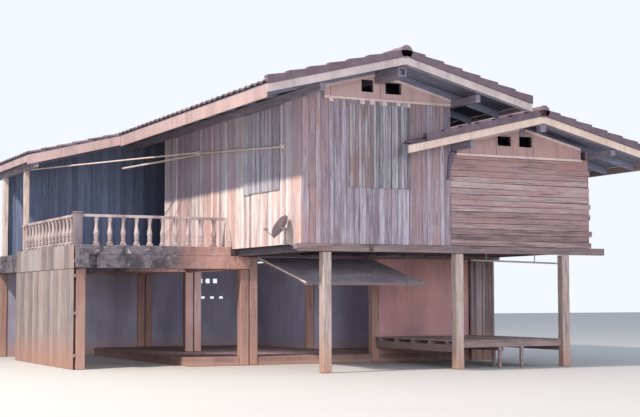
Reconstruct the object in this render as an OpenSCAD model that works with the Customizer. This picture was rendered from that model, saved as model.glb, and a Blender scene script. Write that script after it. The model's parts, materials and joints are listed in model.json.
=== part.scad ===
// Timber stilt house: a boarded main room and a planked kitchen wing under twin tiled gables,
// with a concrete balcony at the left and an open, partly walled ground floor.
// Lengths are in millimetres. While it is drawn, X runs right along the gable front from the
// near left wall corner, Y runs back and Z up. At the end the whole is moved so that the
// origin is in the middle of its footprint, on the ground.

/* [Levels] */
// Height of the upper floor, where the wall boards start
floor_z = 2460; // [2300:10:2700]
// Depth of the floor girders under the wall boards
girder_h = 150; // [120:10:170]
// Height of the raised ground floor
plinth_h = 180; // [150:10:400]

/* [Main room] */
// Width of the main room across its gable
main_w = 3310; // [3100:10:3400]
// Length of the closed main room, from the gable front to its rear wall
room_l = 7650; // [7200:10:8000]
// Length of the whole upper floor, with the covered hall behind the room
house_l = 10500; // [10000:50:11500]
// Height of the underside of the tiles at the main ridge
main_ridge_z = 5965; // [5800:5:6100]
// Slope of the main roof in degrees
main_pitch = 14.1; // [12:0.1:16]
// Reach of the main eaves past the walls
main_eave = 1220; // [900:10:1300]
// Reach of the main roof past its gables
main_rake = 1100; // [800:10:1300]
// Height of the trim under the main gable panels
main_trim_z = 5300; // [5200:10:5400]

/* [Kitchen wing] */
// Right side of the wing
wing_right = 6760; // [6500:10:7000]
// Depth of the wing from front to back
wing_l = 7000; // [6000:100:7400]
// Place of the wing's ridge across the front
wing_ridge_x = 5030; // [4900:10:5100]
// Height of the underside of the tiles at the wing's ridge
wing_ridge_z = 5075; // [5000:5:5120]
// Slope of the wing's roof in degrees
wing_pitch = 13.4; // [12:0.1:14]
// Half width of the wing's roof
wing_run = 3156; // [3000:2:3200]
// Reach of the wing's roof past its gables
wing_rake = 790; // [600:10:1000]
// Height of the trim under the wing's gable panels
wing_trim_z = 4330; // [4250:10:4400]

/* [Roof pieces] */
// Thickness of the tiles and battens at the upper end of a course
tile_t = 55; // [40:5:70]
// Rise of each tile course at its lower end
tile_step = 35; // [20:5:45]
// Number of tile courses on one main slope
main_courses = 7; // [5:1:9]
// Height of the bargeboards
barge_h = 150; // [120:5:180]
// Height of the verge tiles above the bargeboards
verge_h = 165; // [130:5:200]
// Radius of the half-round ridge caps
cap_r = 122; // [100:2:140]
// Depth of the eave boards on the left
fascia_h = 240; // [200:10:260]

/* [Posts and walls] */
// Side of the square house posts
post_w = 190; // [150:5:220]
// Distance between the rows of posts, front to back
bay = 3500; // [3200:50:3700]
// Thickness of the boarded walls with their battens
wall_t = 60; // [40:5:100]
// Thickness of the masonry walls
masonry_t = 100; // [80:10:150]

/* [Balcony] */
// Outer side of the balcony, measured left from the main wall
balcony_w = 3380; // [3000:10:3380]
// Front of the balcony slab
balcony_y = 3430; // [3350:10:3500]
// Height of the handrail above the curb
rail_h = 640; // [600:10:900]
// Distance between balusters
baluster_gap = 287; // [260:1:300]

/* [Hidden] */

timber = "#9a8d8a";
old_timber = "#a08078";
concrete = "#b08878";
plaster = "#7d6060";
tile_colour = "#6a5668";
cream = "#cdb8a4";
dark_timber = "#5a4a50";

main_ridge_x = main_w / 2;
main_tan = tan(main_pitch);
wing_tan = tan(wing_pitch);
main_run = main_ridge_x + main_eave;
verge_t = 28;
barge_t = 30;
fascia_t = 25;
roof_top = tile_t + tile_step;
flange_w = 150;
flange_t = 25;
wing_courses = 8;

// Ridge caps: a half round on short skirts, laid end to end
cap_skirt = 42;
cap_rise = 92;
cap_wall = 18;
cap_length = 400;
cap_end_t = 45;
collar_rise = 6;
collar_w = 70;

// The lean-to carries the left slope on past the main eave, over the rear of the balcony
lean_to_y = 7350;
lean_to_courses = 6;
lean_to_left = -3420;
lean_to_run = main_ridge_x - lean_to_left;

// Left end of the raised ground floor
plinth_left = -900;

// Rows of posts under both rooms
post_x = [440, 3407, 6018];
girder_z = floor_z - girder_h;
row_y = [0, bay, 2 * bay - post_w, house_l - post_w];
girder_t = 120;
girder_y = [-30, row_y[1] + 30, row_y[2] + 30, row_y[3] + 60];
// Left and right end of each cross girder, and the sides of the trimmers set back on the left
girder_x = [[-110, 7110], [10, 6860], [10, 6860], [10, main_w + 200]];
side_girder_x = [120, 240];
// Pieces that only touch are kept this far apart
fit_gap = 2;
joist_w = 55;
joist_h = 100;
joists = 11;
first_joist_x = 420;
joist_gap = 620;
floor_t = 25;

// Columns and beams of the balcony
column_w = 200;
slab_t = 150;
curb_h = 45;
curb_w = 220;
curb_z = floor_z + curb_h;
beam_h = 270;
beam_t = 200;
beam_right = 424;
inner_column_x = beam_right - column_w;
beam_block_y = 3200;
recess_w = 240;
rail_y = 3780;
rail_x = -balcony_w;
outer_column_x = rail_x + 30;
rail_t = 55;
balcony_post_w = 165;
lean_to_post_w = 130;
lean_to_post_y = [8200, house_l - wall_t - lean_to_post_w];

// Openings in the two front gables, and the same again at the back
vent_t = 300;
main_vents = [[1270, 5420, 270, 250], [1800, 5410, 370, 240]];
wing_vents = [[4420, 4520, 340, 210], [4950, 4520, 330, 230]];
panel_t = 22;
trim_h = 48;

// Outer box of the house, which gives the place of the origin
front_y = -main_rake - verge_t;
back_y = house_l + main_rake + verge_t;
right_x = wing_ridge_x + wing_run;
shift = [-(lean_to_left + right_x) / 2, -(front_y + back_y) / 2, 0];

// Each roof: place of its ridge, height of the tiles' underside there, and its slope
main_roof = [main_ridge_x, main_ridge_z, main_tan];
wing_roof = [wing_ridge_x, wing_ridge_z, wing_tan];

// Height of the tiles' underside at a place across the house
function roof_z(roof, x) = roof[1] - roof[2] * abs(x - roof[0]);

// Beams along the roofs: place across the house, width and height
rafter_w = 50;
rafter_gap = 60;
ridge_beam = [190, 190];
plate = [110, 150];
main_plate_x = [-30, main_w + 40];
wing_ridge_beam = [150, 150];
wing_plate = [120, 120];
wing_plate_x = wing_right + wing_plate[0] / 2;
wing_inner_plate_x = main_w + 65;
lean_to_plate_x = lean_to_left + 210;

// Underside of a wall plate of the main roof; outward is -1 on the left and 1 on the right
function plate_foot(x, outward) = roof_z(main_roof, x + outward * plate[0] / 2) - barge_h - plate[1];

// A box from its lowest to its highest corner
module block(low, high) translate(low) cube(high - low);

// A profile drawn in X and Z, run back from y0 to y1
module across(y0, y1) translate([0, y1, 0]) rotate([90, 0, 0]) linear_extrude(y1 - y0) children();

// A profile drawn in Y and Z, run right from x0 to x1
module along(x0, x1) translate([x0, 0, 0]) rotate([90, 0, 90]) linear_extrude(x1 - x0) children();

// A round rod between two points
module rod(from, to, r) {
    d = to - from;
    length = norm(d);
    translate(from) rotate([0, acos(d.z / length), atan2(d.y, d.x)]) cylinder(h = length, r = r, $fn = 20);
}

// A strip that follows a slope between two runs, with its lower and upper offsets
module slope_strip(run0, run1, low, high, slope)
    polygon([[run0, low - run0 * slope], [run1, low - run1 * slope],
             [run1, high - run1 * slope], [run0, high - run0 * slope]]);

// Lapped tile courses: each starts low under the one above it and ends high
module courses(run0, run1, count, slope) {
    step = (run1 - run0) / count;
    top = [for (i = [0:count - 1]) each [
        [run0 + i * step, tile_t - (run0 + i * step) * slope],
        [run0 + (i + 1) * step, roof_top - (run0 + (i + 1) * step) * slope]]];
    polygon(concat([[run0, -run0 * slope]], top, [[run1, -run1 * slope]]));
}

// Verge tiles on one slope: an apron over the bargeboard and a flange on the roof edge
module verge_profile(run1, count, low, slope) {
    step = run1 / count;
    top = [for (i = [0:count - 1]) each [
        [i * step, verge_h - tile_step - i * step * slope],
        [(i + 1) * step, verge_h - (i + 1) * step * slope]]];
    polygon(concat(top, [[run1, low - run1 * slope], [0, low]]));
}

// A slope's profile put on a ridge: side is 1 for the right slope and -1 for the left
module on_ridge(roof, side) translate([roof[0], roof[1]]) mirror([side < 0 ? 1 : 0, 0]) children();

// Outline of a half-round cap with short skirts
module cap_outline(r) {
    intersection() {
        circle(r, $fn = 48);
        translate([-r, 0]) square([2 * r, r]);
    }
    translate([-r, -cap_skirt]) square([2 * r, cap_skirt]);
}

// Ridge caps end to end, with a collar at every lap and a round stop at each end
module ridge_cap(roof, y0, y1) {
    translate([roof[0], 0, roof[1] + cap_rise]) {
        across(y0, y1) difference() {
            cap_outline(cap_r - collar_rise);
            cap_outline(cap_r - cap_wall);
        }
        for (y = [y0 + cap_length:cap_length:y1 - cap_length / 2])
            across(y - collar_w / 2, y + collar_w / 2) difference() {
                cap_outline(cap_r);
                cap_outline(cap_r - cap_wall);
            }
        for (y = [y0, y1 - cap_end_t])
            across(y, y + cap_end_t) circle(cap_r, $fn = 48);
    }
}

module house_post(x, y, z0 = 0) block([x, y, z0], [x + post_w, y + post_w, girder_z]);

// Ground floor
lower_front_y = bay + 20;

// A notch in the front edge of the floor, round something that stands on the ground
module post_notch(x0, x1, depth)
    block([x0 - fit_gap, lower_front_y - 1, -1], [x1 + fit_gap, bay + depth + fit_gap, plinth_h + 1]);

module plinth() color("#8a6a62") difference() {
    block([plinth_left, lower_front_y, 0], [wing_right - 60, house_l, plinth_h]);
    block([main_w + 340, wing_l, -1], [wing_right, house_l + 1, plinth_h + 1]);
    post_notch(inner_column_x, post_x[0] + post_w, column_w);
    for (x = [post_x[1], post_x[2]]) post_notch(x, x + post_w, post_w);
}

module front_posts() color(timber) for (x = post_x) house_post(x, row_y[0]);

module inner_posts() color(timber) {
    for (x = post_x) {
        house_post(x, row_y[1]);
        house_post(x, row_y[2], plinth_h);
    }
    for (x = [post_x[0], post_x[1]]) house_post(x, row_y[3], plinth_h);
}

module balcony_columns() color(concrete) {
    top = floor_z - slab_t - beam_h;
    for (y = [bay, 2 * bay - post_w, house_l - column_w]) {
        block([inner_column_x, y, y == bay ? 0 : plinth_h], [beam_right, y + column_w, top]);
        block([outer_column_x, y, 0], [outer_column_x + column_w, y + column_w, top]);
    }
}

panel_x0 = 5970;
panel_x1 = 6640;

module lower_front_wall() color(plaster)
    block([post_x[1] + post_w, lower_front_y, plinth_h], [panel_x0, lower_front_y + masonry_t, girder_z]);

module lower_plank_panel() color(dark_timber) {
    block([panel_x0, bay - 40, 0], [panel_x1, bay - 15, girder_z]);
    for (x = [panel_x0 + 20, (panel_x0 + panel_x1) / 2, panel_x1 - 80])
        block([x, bay - 60, 0], [x + 60, bay - 40, girder_z]);
}

module lower_side_walls() color(plaster) {
    top = floor_z - joist_h;
    block([wing_right - 60 - masonry_t, bay + 160, plinth_h], [wing_right - 60, wing_l - 160, top]);
    block([post_x[1] + 40, wing_l + 10, plinth_h], [post_x[1] + 40 + masonry_t, house_l - post_w, top]);
}

// A hole right through a masonry wall that stands across the house
module air_slot(x, y, z, size) block([x, y - 1, z], [x + size[0], y + masonry_t + 1, z + size[1]]);

module lower_rear_walls() color(plaster) {
    wing_y = wing_l - 150;
    block([post_x[1] + post_w, wing_y, plinth_h], [post_x[2], wing_y + masonry_t, girder_z]);
    block([post_x[2] + post_w, wing_y, plinth_h], [wing_right - 60, wing_y + masonry_t, girder_z]);
    rear_y = house_l - 150;
    difference() {
        block([post_x[0] + post_w, rear_y, plinth_h], [post_x[1], rear_y + masonry_t, girder_z]);
        for (i = [0:3]) air_slot(1700 + i * 210, rear_y, 1830, [150, 120]);
        for (i = [0:2]) air_slot(1990 + i * 260, rear_y, 1420, [140, 60]);
    }
    top = floor_z - slab_t - beam_h;
    block([outer_column_x + column_w, rear_y, 0], [plinth_left, rear_y + masonry_t, top]);
    block([plinth_left, rear_y, plinth_h], [inner_column_x, rear_y + masonry_t, top]);
}

// Awning over the open front of the ground floor
awning_x = [600, 3330];
awning_top = [bay, 2290];
awning_low = [1100, 1720];
awning_slope = (awning_top.y - awning_low.y) / (awning_top.x - awning_low.x);
awning_t = 12;
awning_lap_y = 1850;
awning_lap = 60;
batten = 40;
hanger_r = 7;

// Height of the sheet's underside above a place from front to back
function awning_z(y) = awning_low.y + (y - awning_low.x) * awning_slope;

// Two sheets: the upper one lies on the lower one where they lap
module awning_sheet() color("#544a56") along(awning_x[0], awning_x[1]) {
    lap_y = awning_lap_y;
    start_y = lap_y - awning_lap;
    polygon([awning_low, [lap_y, awning_z(lap_y)], [lap_y, awning_z(lap_y) + awning_t],
             [awning_low.x, awning_low.y + awning_t]]);
    polygon([[lap_y, awning_z(lap_y)], awning_top, [awning_top.x, awning_top.y + awning_t],
             [start_y, awning_z(start_y) + 2 * awning_t], [start_y, awning_z(start_y) + awning_t],
             [lap_y, awning_z(lap_y) + awning_t]]);
}

// Battens under the sheets, a front bar and two thin hangers from joists above
module awning_frame() color(old_timber) {
    low = awning_low.y;
    for (x = [awning_x[0] + 20, (awning_x[0] + awning_x[1]) / 2, awning_x[1] - 20 - batten])
        along(x, x + batten) polygon([[awning_low.x, low - batten], [awning_top.x, awning_top.y - batten],
                                      awning_top, awning_low]);
    block([awning_x[0], awning_low.x - 30, low - batten], [awning_x[1], awning_low.x, low + awning_t]);
    for (i = [1, 4])
        translate([first_joist_x + i * joist_gap + joist_w / 2, awning_low.x - 15, low + awning_t])
            cylinder(h = floor_z - joist_h - low - awning_t, r = hanger_r, $fn = 20);
}

// Low wooden platform that fills the bay between the two right-hand posts and the wall
deck_x = [3450, 6170];
deck_y = [40, 3440];
deck_z = 570;
deck_t = 25;
deck_boards = 17;
deck_gap = 8;
deck_joist = [60, 65];
deck_joist_y = [420, 1120, 1820, 2520, 3220];
deck_beam = [60, 150];
deck_beam_x = [3500, 4750, 6055];
front_beam = [60, 120];
leg_w = 60;
front_leg_x = [4470, 5000];
back_leg_y = [700, 1850, 3000];

// Boards from front to back; the outer ones start behind the house posts
module platform_deck() color(old_timber) {
    step = (deck_x[1] - deck_x[0]) / deck_boards;
    for (i = [0:deck_boards - 1]) {
        start = i == 0 || i == deck_boards - 1 ? post_w + 6 : deck_y[0];
        block([deck_x[0] + i * step, start, deck_z - deck_t],
              [deck_x[0] + (i + 1) * step - deck_gap, deck_y[1], deck_z]);
    }
}

module platform_frame() color(dark_timber) {
    top = deck_z - deck_t;
    beam_top = top - deck_joist[1];
    for (y = deck_joist_y)
        block([deck_x[0], y, beam_top], [deck_x[1] - deck_gap, y + deck_joist[0], top]);
    // Side beams between the house posts, and one in the middle on legs of its own
    for (i = [0:2]) {
        x = deck_beam_x[i];
        start = i == 1 ? deck_joist_y[0] : post_w;
        end = i == 1 ? deck_y[1] : bay;
        block([x, start, beam_top - deck_beam[1]], [x + deck_beam[0], end, beam_top]);
    }
    for (y = back_leg_y)
        block([deck_beam_x[1], y, 0], [deck_beam_x[1] + leg_w, y + leg_w, beam_top - deck_beam[1]]);
    y = deck_y[0] + 30;
    block([post_x[1] + post_w, y, top - front_beam[1]], [post_x[2], y + front_beam[0], top]);
    for (x = front_leg_x) block([x, y, 0], [x + leg_w, y + leg_w, top - front_beam[1]]);
}

// Balcony
module balcony_slab() color(concrete) {
    block([rail_x, balcony_y, floor_z - slab_t], [-20, house_l, floor_z]);
    // Curb under the rail, along the front and the left side
    block([rail_x, balcony_y, floor_z], [-20, rail_y + 90, curb_z]);
    block([rail_x, rail_y + 90, floor_z], [rail_x + curb_w, lean_to_post_y[0], curb_z]);
}

module balcony_edge_beams() color("#7a5c58") {
    low = floor_z - slab_t - beam_h;
    high = floor_z - slab_t;
    block([rail_x + beam_t + recess_w, balcony_y, low], [beam_right, balcony_y + beam_t, high]);
    block([rail_x, beam_block_y, low], [rail_x + beam_t, house_l, high]);
    block([rail_x + beam_t, balcony_y + 120, low], [rail_x + beam_t + recess_w, balcony_y + beam_t, high]);
    block([beam_right - beam_t, balcony_y + beam_t, low], [beam_right, house_l, high]);
    for (y = [2 * bay - post_w, house_l - beam_t])
        block([rail_x + beam_t, y, low], [beam_right - beam_t, y + beam_t, high]);
    along(rail_x, rail_x + beam_t)
        polygon([[beam_block_y, high], [balcony_y, high], [balcony_y, floor_z - 10],
                 [beam_block_y, floor_z - 25]]);
}

baluster_r = 55;
baluster_h = rail_h - rail_t;

// A turned baluster: square foot, three rings, a vase body and a slim neck
module baluster(x, y) translate([x, y, curb_z]) {
    translate([-baluster_r, -baluster_r, 0]) cube([2 * baluster_r, 2 * baluster_r, 55]);
    rotate_extrude($fn = 24) polygon([[0, 55], [50, 55], [55, 75], [40, 95], [52, 115], [40, 135],
        [52, 155], [40, 175], [50, 215], [56, 255], [50, 300], [36, 370], [31, 430], [38, 500],
        [48, 530], [48, baluster_h], [0, baluster_h]]);
}

first_baluster_x = -2865;
front_balusters = 10;
side_balusters = 14;
post_set_in = 40;
post_left = rail_x + post_set_in;

module balcony_balusters() color("#b8aaa8") {
    for (i = [0:front_balusters - 1]) baluster(first_baluster_x + i * baluster_gap, rail_y);
    for (i = [1:side_balusters]) baluster(post_left + balcony_post_w / 2, rail_y + 130 + i * baluster_gap);
}

module balcony_handrail() color("#b8aaa8") {
    low = curb_z + rail_h - rail_t;
    high = curb_z + rail_h;
    block([post_left + balcony_post_w, rail_y - 55, low], [0, rail_y + 55, high]);
    block([post_left + 28, rail_y + balcony_post_w / 2, low], [post_left + 138, lean_to_post_y[0], high]);
    // Curved end piece that comes down from the rail to the front of the slab, by the wall
    translate([-45, 0, 0]) along(0, 40) difference() {
        polygon([[rail_y - 55, high], [rail_y + 55, low], [rail_y - 40, low], [rail_y - 150, curb_z + 330],
                 [balcony_y + 110, curb_z], [balcony_y + 10, curb_z], [rail_y - 230, curb_z + 350]]);
        translate([balcony_y - 20, curb_z + 180]) circle(70, $fn = 32);
    }
}

module balcony_posts() color("#b8aaa8") {
    top = curb_z + rail_h + 25;
    front = rail_y - balcony_post_w / 2;
    block([post_left, front, curb_z], [post_left + balcony_post_w, front + balcony_post_w, top]);
    wide = balcony_post_w + 12;
    block([post_left - 12, front - 12, top], [post_left + wide, front + wide, top + 22]);
}

// Wide upright sheets on battens that close the left side of the balcony, up to its curb
screen_y = [3500, 8300];
screen_sheets = 4;
sheet_t = 12;
screen_batten_t = 20;

module side_screen() color("#8f8480") {
    step = (screen_y[1] - screen_y[0]) / screen_sheets;
    back = rail_x - screen_batten_t;
    for (i = [0:screen_sheets - 1]) {
        y = screen_y[0] + i * step;
        block([back - sheet_t, y, 0], [back, y + step - 10, curb_z - i % 2 * 25]);
    }
    // The upper batten lies on the edge beam, the lower ones on the columns
    block([back, screen_y[0], 2150], [rail_x, screen_y[1], 2210]);
    for (z = [250, 1100, 1850])
        block([back, screen_y[0], z], [outer_column_x, screen_y[1], z + 60]);
}

// Upper floor
module floor_girders() color(old_timber) {
    for (i = [0:3])
        block([girder_x[i][0], girder_y[i], girder_z], [girder_x[i][1], girder_y[i] + girder_t, floor_z]);
    for (i = [0:2])
        block([side_girder_x[0], girder_y[i] + girder_t + fit_gap, girder_z],
              [side_girder_x[1], girder_y[i + 1] - fit_gap, floor_z]);
}

module floor_joists() color(dark_timber) {
    for (i = [0:joists - 1]) for (span = [0:2]) {
        x = first_joist_x + i * joist_gap;
        if (span < 2 || x < main_w)
            block([x, girder_y[span] + girder_t, floor_z - joist_h],
                  [x + joist_w, girder_y[span + 1], floor_z]);
    }
}

module floor_boards() color(old_timber) {
    block([wall_t, wall_t, floor_z], [main_w - wall_t, house_l - wall_t, floor_z + floor_t]);
    block([main_w, wall_t, floor_z], [wing_right - wall_t, wing_l - wall_t, floor_z + floor_t]);
}

// Profile of a gable end between two sides, up to the underside of the rafters
module gable_profile(x0, x1, z0, roof)
    polygon([[x0, z0], [x1, z0], [x1, roof_z(roof, x1) - barge_h], [roof[0], roof[1] - barge_h],
             [x0, roof_z(roof, x0) - barge_h]]);

module vent_cuts(vents, y0, y1) for (v = vents) block([v[0], y0, v[1]], [v[0] + v[2], y1, v[1] + v[3]]);

module main_gable_wall() color(timber) difference() {
    across(0, wall_t) gable_profile(0, main_w, floor_z, main_roof);
    vent_cuts(main_vents, -vent_t, vent_t);
    main_beams();
}

module main_left_wall() color("#b09a90")
    block([0, wall_t, floor_z], [wall_t, room_l, plate_foot(main_plate_x[0], -1)]);

module main_right_wall() color(timber)
    block([main_w - wall_t, wall_t, floor_z], [main_w, house_l - wall_t, plate_foot(main_plate_x[1], 1)]);

door_x = [1150, 2050];
door_h = 1900;

module room_rear_wall() color(timber) difference() {
    across(room_l - wall_t, room_l)
        gable_profile(wall_t, main_w - wall_t, floor_z + floor_t, main_roof);
    block([door_x[0], room_l - wall_t - 1, floor_z], [door_x[1], room_l + 1, floor_z + floor_t + door_h]);
    main_beams();
}

module hall_rear_wall() color(timber) difference() {
    across(house_l - wall_t, house_l)
        gable_profile(lean_to_plate_x - 50, main_w, floor_z, main_roof);
    vent_cuts(main_vents, house_l - vent_t, house_l + vent_t);
    main_beams();
    lean_to_plate();
}

wing_panel_x = [3440, 6530];

module wing_gable_wall() color(old_timber) difference() {
    union() {
        block([main_w, 0, floor_z], [wing_right, wall_t, wing_trim_z]);
        across(0, wall_t)
            gable_profile(wing_panel_x[0], wing_panel_x[1], wing_trim_z, wing_roof);
    }
    vent_cuts(wing_vents, -vent_t, vent_t);
    wing_beams();
}

module wing_right_wall() color(old_timber)
    block([wing_right - wall_t, wall_t, floor_z],
          [wing_right, wing_l - wall_t, roof_z(wing_roof, wing_right) - barge_h]);

module wing_rear_wall() color(old_timber) difference() {
    across(wing_l - wall_t, wing_l) gable_profile(main_w, wing_right, floor_z, wing_roof);
    vent_cuts(wing_vents, wing_l - vent_t, wing_l + vent_t);
    wing_beams();
}

// A closed shutter leaf with narrow upright ribs, its back on the plane Y = 0
shutter_t = 30;
shutter_board_t = 22;
rib_pitch = 92;
module shutter_leaf(x0, x1, z0, z1) {
    block([x0, -shutter_board_t, z0], [x1, 0, z1]);
    ribs = round((x1 - x0) / rib_pitch);
    step = (x1 - x0) / ribs;
    for (i = [0:ribs - 1])
        block([x0 + i * step + 6, -shutter_t, z0 + 10],
              [x0 + (i + 1) * step - 18, -shutter_board_t, z1 - 10]);
}

gable_shutter_x = [1000, 1925, 1935, 2360];
gable_shutter_z = [3550, 5180];

module gable_shutters() color("#85858a") for (i = [0, 2])
    shutter_leaf(gable_shutter_x[i], gable_shutter_x[i + 1], gable_shutter_z[0], gable_shutter_z[1]);

module side_shutters() color("#85858a") rotate([0, 0, -90]) {
    shutter_leaf(-2800, -1905, 3540, 5200);
    shutter_leaf(-1895, -1000, 3540, 5200);
}

// Panels in a gable, with a trim below and sloping trims above, out to the front of the wall
module panel_set(x0, x1, z0, roof, vents) {
    ridge_x = roof[0];
    top = roof[1] - barge_h;
    left = roof_z(roof, x0) - barge_h;
    right = roof_z(roof, x1) - barge_h;
    difference() {
        union() {
            across(-panel_t, 0) polygon([[x0, z0], [x1, z0], [x1, right], [ridge_x, top], [x0, left]]);
            block([x0 - 20, -panel_t - 16, z0 - trim_h], [x1 + 20, -panel_t, z0]);
            across(-panel_t - 12, -panel_t)
                polygon([[x0, left - trim_h], [x0, left], [ridge_x, top], [x1, right], [x1, right - trim_h],
                         [ridge_x, top - trim_h]]);
        }
        vent_cuts(vents, -vent_t, vent_t);
        main_beams();
        wing_beams();
    }
}

main_panel_x0 = 466;

module main_panels()
    panel_set(main_panel_x0, main_w, main_trim_z, main_roof, main_vents);

module wing_panels()
    panel_set(wing_panel_x[0], wing_panel_x[1], wing_trim_z, wing_roof, wing_vents);

module gable_panels() color(cream) {
    main_panels();
    wing_panels();
    translate([0, house_l, 0]) mirror([0, 1, 0]) main_panels();
    translate([0, wing_l, 0]) mirror([0, 1, 0]) wing_panels();
}

// Roofs
module main_roof_left() color(tile_colour)
    across(-main_rake, house_l + main_rake)
        on_ridge(main_roof, -1) courses(0, main_run, main_courses, main_tan);

module main_roof_right() color(tile_colour)
    across(-main_rake, house_l + main_rake)
        on_ridge(main_roof, 1) courses(0, main_run, main_courses, main_tan);

module lean_to_roof() color(tile_colour)
    across(lean_to_y, house_l + main_rake)
        on_ridge(main_roof, -1) courses(main_run, lean_to_run, lean_to_courses, main_tan);

// Over the gable wall the lowest course is only as deep as one tile, a solid of its own, and
// the roof stops clear of the shutter
porch_eave = 270;

module wing_roof_left() color(tile_colour) {
    clear_y = -shutter_t - fit_gap;
    across(-wing_rake, porch_eave - wing_rake - fit_gap)
        on_ridge(wing_roof, -1) courses(0, wing_run, wing_courses, wing_tan);
    across(porch_eave - wing_rake, clear_y)
        on_ridge(wing_roof, -1) courses(0, wing_verge_run, wing_verge_courses, wing_tan);
    across(clear_y, wing_l + wing_rake) on_ridge(wing_roof, -1) intersection() {
        courses(0, wing_run, wing_courses, wing_tan);
        translate([0, -wing_run]) square([wing_ridge_x - main_w, 2 * wing_run]);
    }
}

module wing_roof_right() color(tile_colour)
    across(-wing_rake, wing_l + wing_rake)
        on_ridge(wing_roof, 1) courses(0, wing_run, wing_courses, wing_tan);

module ridge_caps() color("#7d6878") {
    ridge_cap(main_roof, front_y, back_y);
    ridge_cap(wing_roof, -wing_rake - verge_t, wing_l + wing_rake + verge_t);
}

// Verge tiles along one rake: edge is the outer face and out is -1 at the front, 1 at the back
module verge_row(roof, side, run1, count, edge, out) {
    inner = edge - out * verge_t;
    across(min(edge, inner), max(edge, inner))
        on_ridge(roof, side) verge_profile(run1, count, 0, roof[2]);
    flange = edge - out * flange_w;
    across(min(inner, flange), max(inner, flange))
        on_ridge(roof, side) verge_profile(run1, count, verge_h - tile_step - flange_t, roof[2]);
}

// On the left of the wing the lowest course has no verge tile
wing_verge_courses = wing_courses - 1;
wing_verge_run = wing_run * wing_verge_courses / wing_courses;

module verge_tiles() color(tile_colour) {
    wing_front_y = -wing_rake - verge_t;
    for (side = [-1, 1]) verge_row(main_roof, side, main_run, main_courses, front_y, -1);
    verge_row(main_roof, 1, main_run, main_courses, back_y, 1);
    verge_row(main_roof, -1, lean_to_run, main_courses + lean_to_courses, back_y, 1);
    verge_row(wing_roof, -1, wing_verge_run, wing_verge_courses, wing_front_y, -1);
    verge_row(wing_roof, 1, wing_run, wing_courses, wing_front_y, -1);
    verge_row(wing_roof, 1, wing_run, wing_courses, wing_l - wing_front_y, 1);
}

// A bargeboard with plumb ends, its back on the roof edge
module bargeboard(roof, side, run1, y0)
    across(y0, y0 + barge_t) on_ridge(roof, side) slope_strip(0, run1, -barge_h, 0, roof[2]);

module main_bargeboards() color(cream) {
    back = house_l + main_rake - barge_t;
    for (side = [-1, 1]) bargeboard(main_roof, side, main_run, -main_rake);
    bargeboard(main_roof, 1, main_run, back);
    bargeboard(main_roof, -1, lean_to_run, back);
}

module wing_bargeboards() color("#e2c8ac") {
    back = wing_l + wing_rake - barge_t;
    for (side = [-1, 1]) bargeboard(wing_roof, side, wing_run, -wing_rake);
    bargeboard(wing_roof, 1, wing_run, back);
    bargeboard(wing_roof, -1, wing_ridge_x - main_w, back);
}

module eave_fascias() color("#b89a90") {
    left = main_ridge_x - main_run;
    right = main_ridge_x + main_run;
    z = roof_z(main_roof, left);
    block([left, -main_rake + barge_t, z - fascia_h], [left + fascia_t, lean_to_y - 2, z]);
    block([right - fascia_t, -main_rake + barge_t, z - 95], [right, house_l + main_rake - barge_t, z]);
    wing_eave_z = roof_z(wing_roof, right_x);
    block([right_x - fascia_t, -wing_rake + barge_t, wing_eave_z - barge_h],
          [right_x, wing_l + wing_rake - barge_t, wing_eave_z]);
    lean_z = roof_z(main_roof, lean_to_left);
    block([lean_to_left, lean_to_y + barge_t + 2, lean_z - barge_h],
          [lean_to_left + fascia_t, house_l + main_rake - barge_t, lean_z]);
    across(lean_to_y, lean_to_y + barge_t)
        on_ridge(main_roof, -1) slope_strip(main_run, lean_to_run, -210, 0, main_tan);
}

// The main beams stop a little short of the front bargeboard
beam_set_back = 120;

// A beam that runs along the roof, under the rafters
module roof_beam(x, top, size, y0, y1)
    block([x - size[0] / 2, y0, top - size[1]], [x + size[0] / 2, y1, top]);

// Ridge beam and wall plates of the main roof
module main_beams() {
    front = -main_rake + barge_t + beam_set_back;
    back = house_l + main_rake - barge_t;
    ridge_top = roof_z(main_roof, main_ridge_x + ridge_beam[0] / 2) - barge_h;
    roof_beam(main_ridge_x, ridge_top, ridge_beam, front, back);
    roof_beam(main_plate_x[0], plate_foot(main_plate_x[0], -1) + plate[1], plate, front, back);
    roof_beam(main_plate_x[1], plate_foot(main_plate_x[1], 1) + plate[1], plate, front, back);
}

// A length of the wing's ridge beam
module wing_ridge_piece(y0, y1)
    roof_beam(wing_ridge_x, roof_z(wing_roof, wing_ridge_x + wing_ridge_beam[0] / 2) - barge_h,
              wing_ridge_beam, y0, y1);

module wing_beams() {
    front = -wing_rake + barge_t + 40;
    back = wing_l + wing_rake - barge_t;
    plate_top = roof_z(wing_roof, wing_plate_x + wing_plate[0] / 2) - barge_h;
    inner_top = roof_z(wing_roof, wing_inner_plate_x - plate[0] / 2) - barge_h;
    wing_ridge_piece(-panel_t - 16, back);
    roof_beam(wing_plate_x, plate_top, wing_plate, front, back);
    roof_beam(wing_inner_plate_x, inner_top, plate, front, back);
}

module lean_to_plate()
    roof_beam(lean_to_plate_x, plate_foot(lean_to_plate_x, -1) + plate[1], plate,
              lean_to_y + barge_t, house_l + main_rake - barge_t);

module roof_purlins() color(dark_timber) {
    difference() {
        main_beams();
        // The front end of the ridge beam is an open box
        hollow = 110;
        front = -main_rake + barge_t + beam_set_back;
        centre = roof_z(main_roof, main_ridge_x + ridge_beam[0] / 2) - barge_h - ridge_beam[1] / 2;
        block([main_ridge_x - hollow / 2, front - 1, centre - hollow / 2],
              [main_ridge_x + hollow / 2, front + hollow, centre + hollow / 2]);
    }
    wing_beams();
    // A short block behind the apex of the wing's bargeboards
    wing_ridge_piece(-wing_rake + barge_t, -wing_rake + barge_t + 130);
    lean_to_plate();
}

// Rafters from the ridges down to the eave boards, left and right ones side by side
main_rafters = 12;
wing_rafters = 9;

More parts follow.
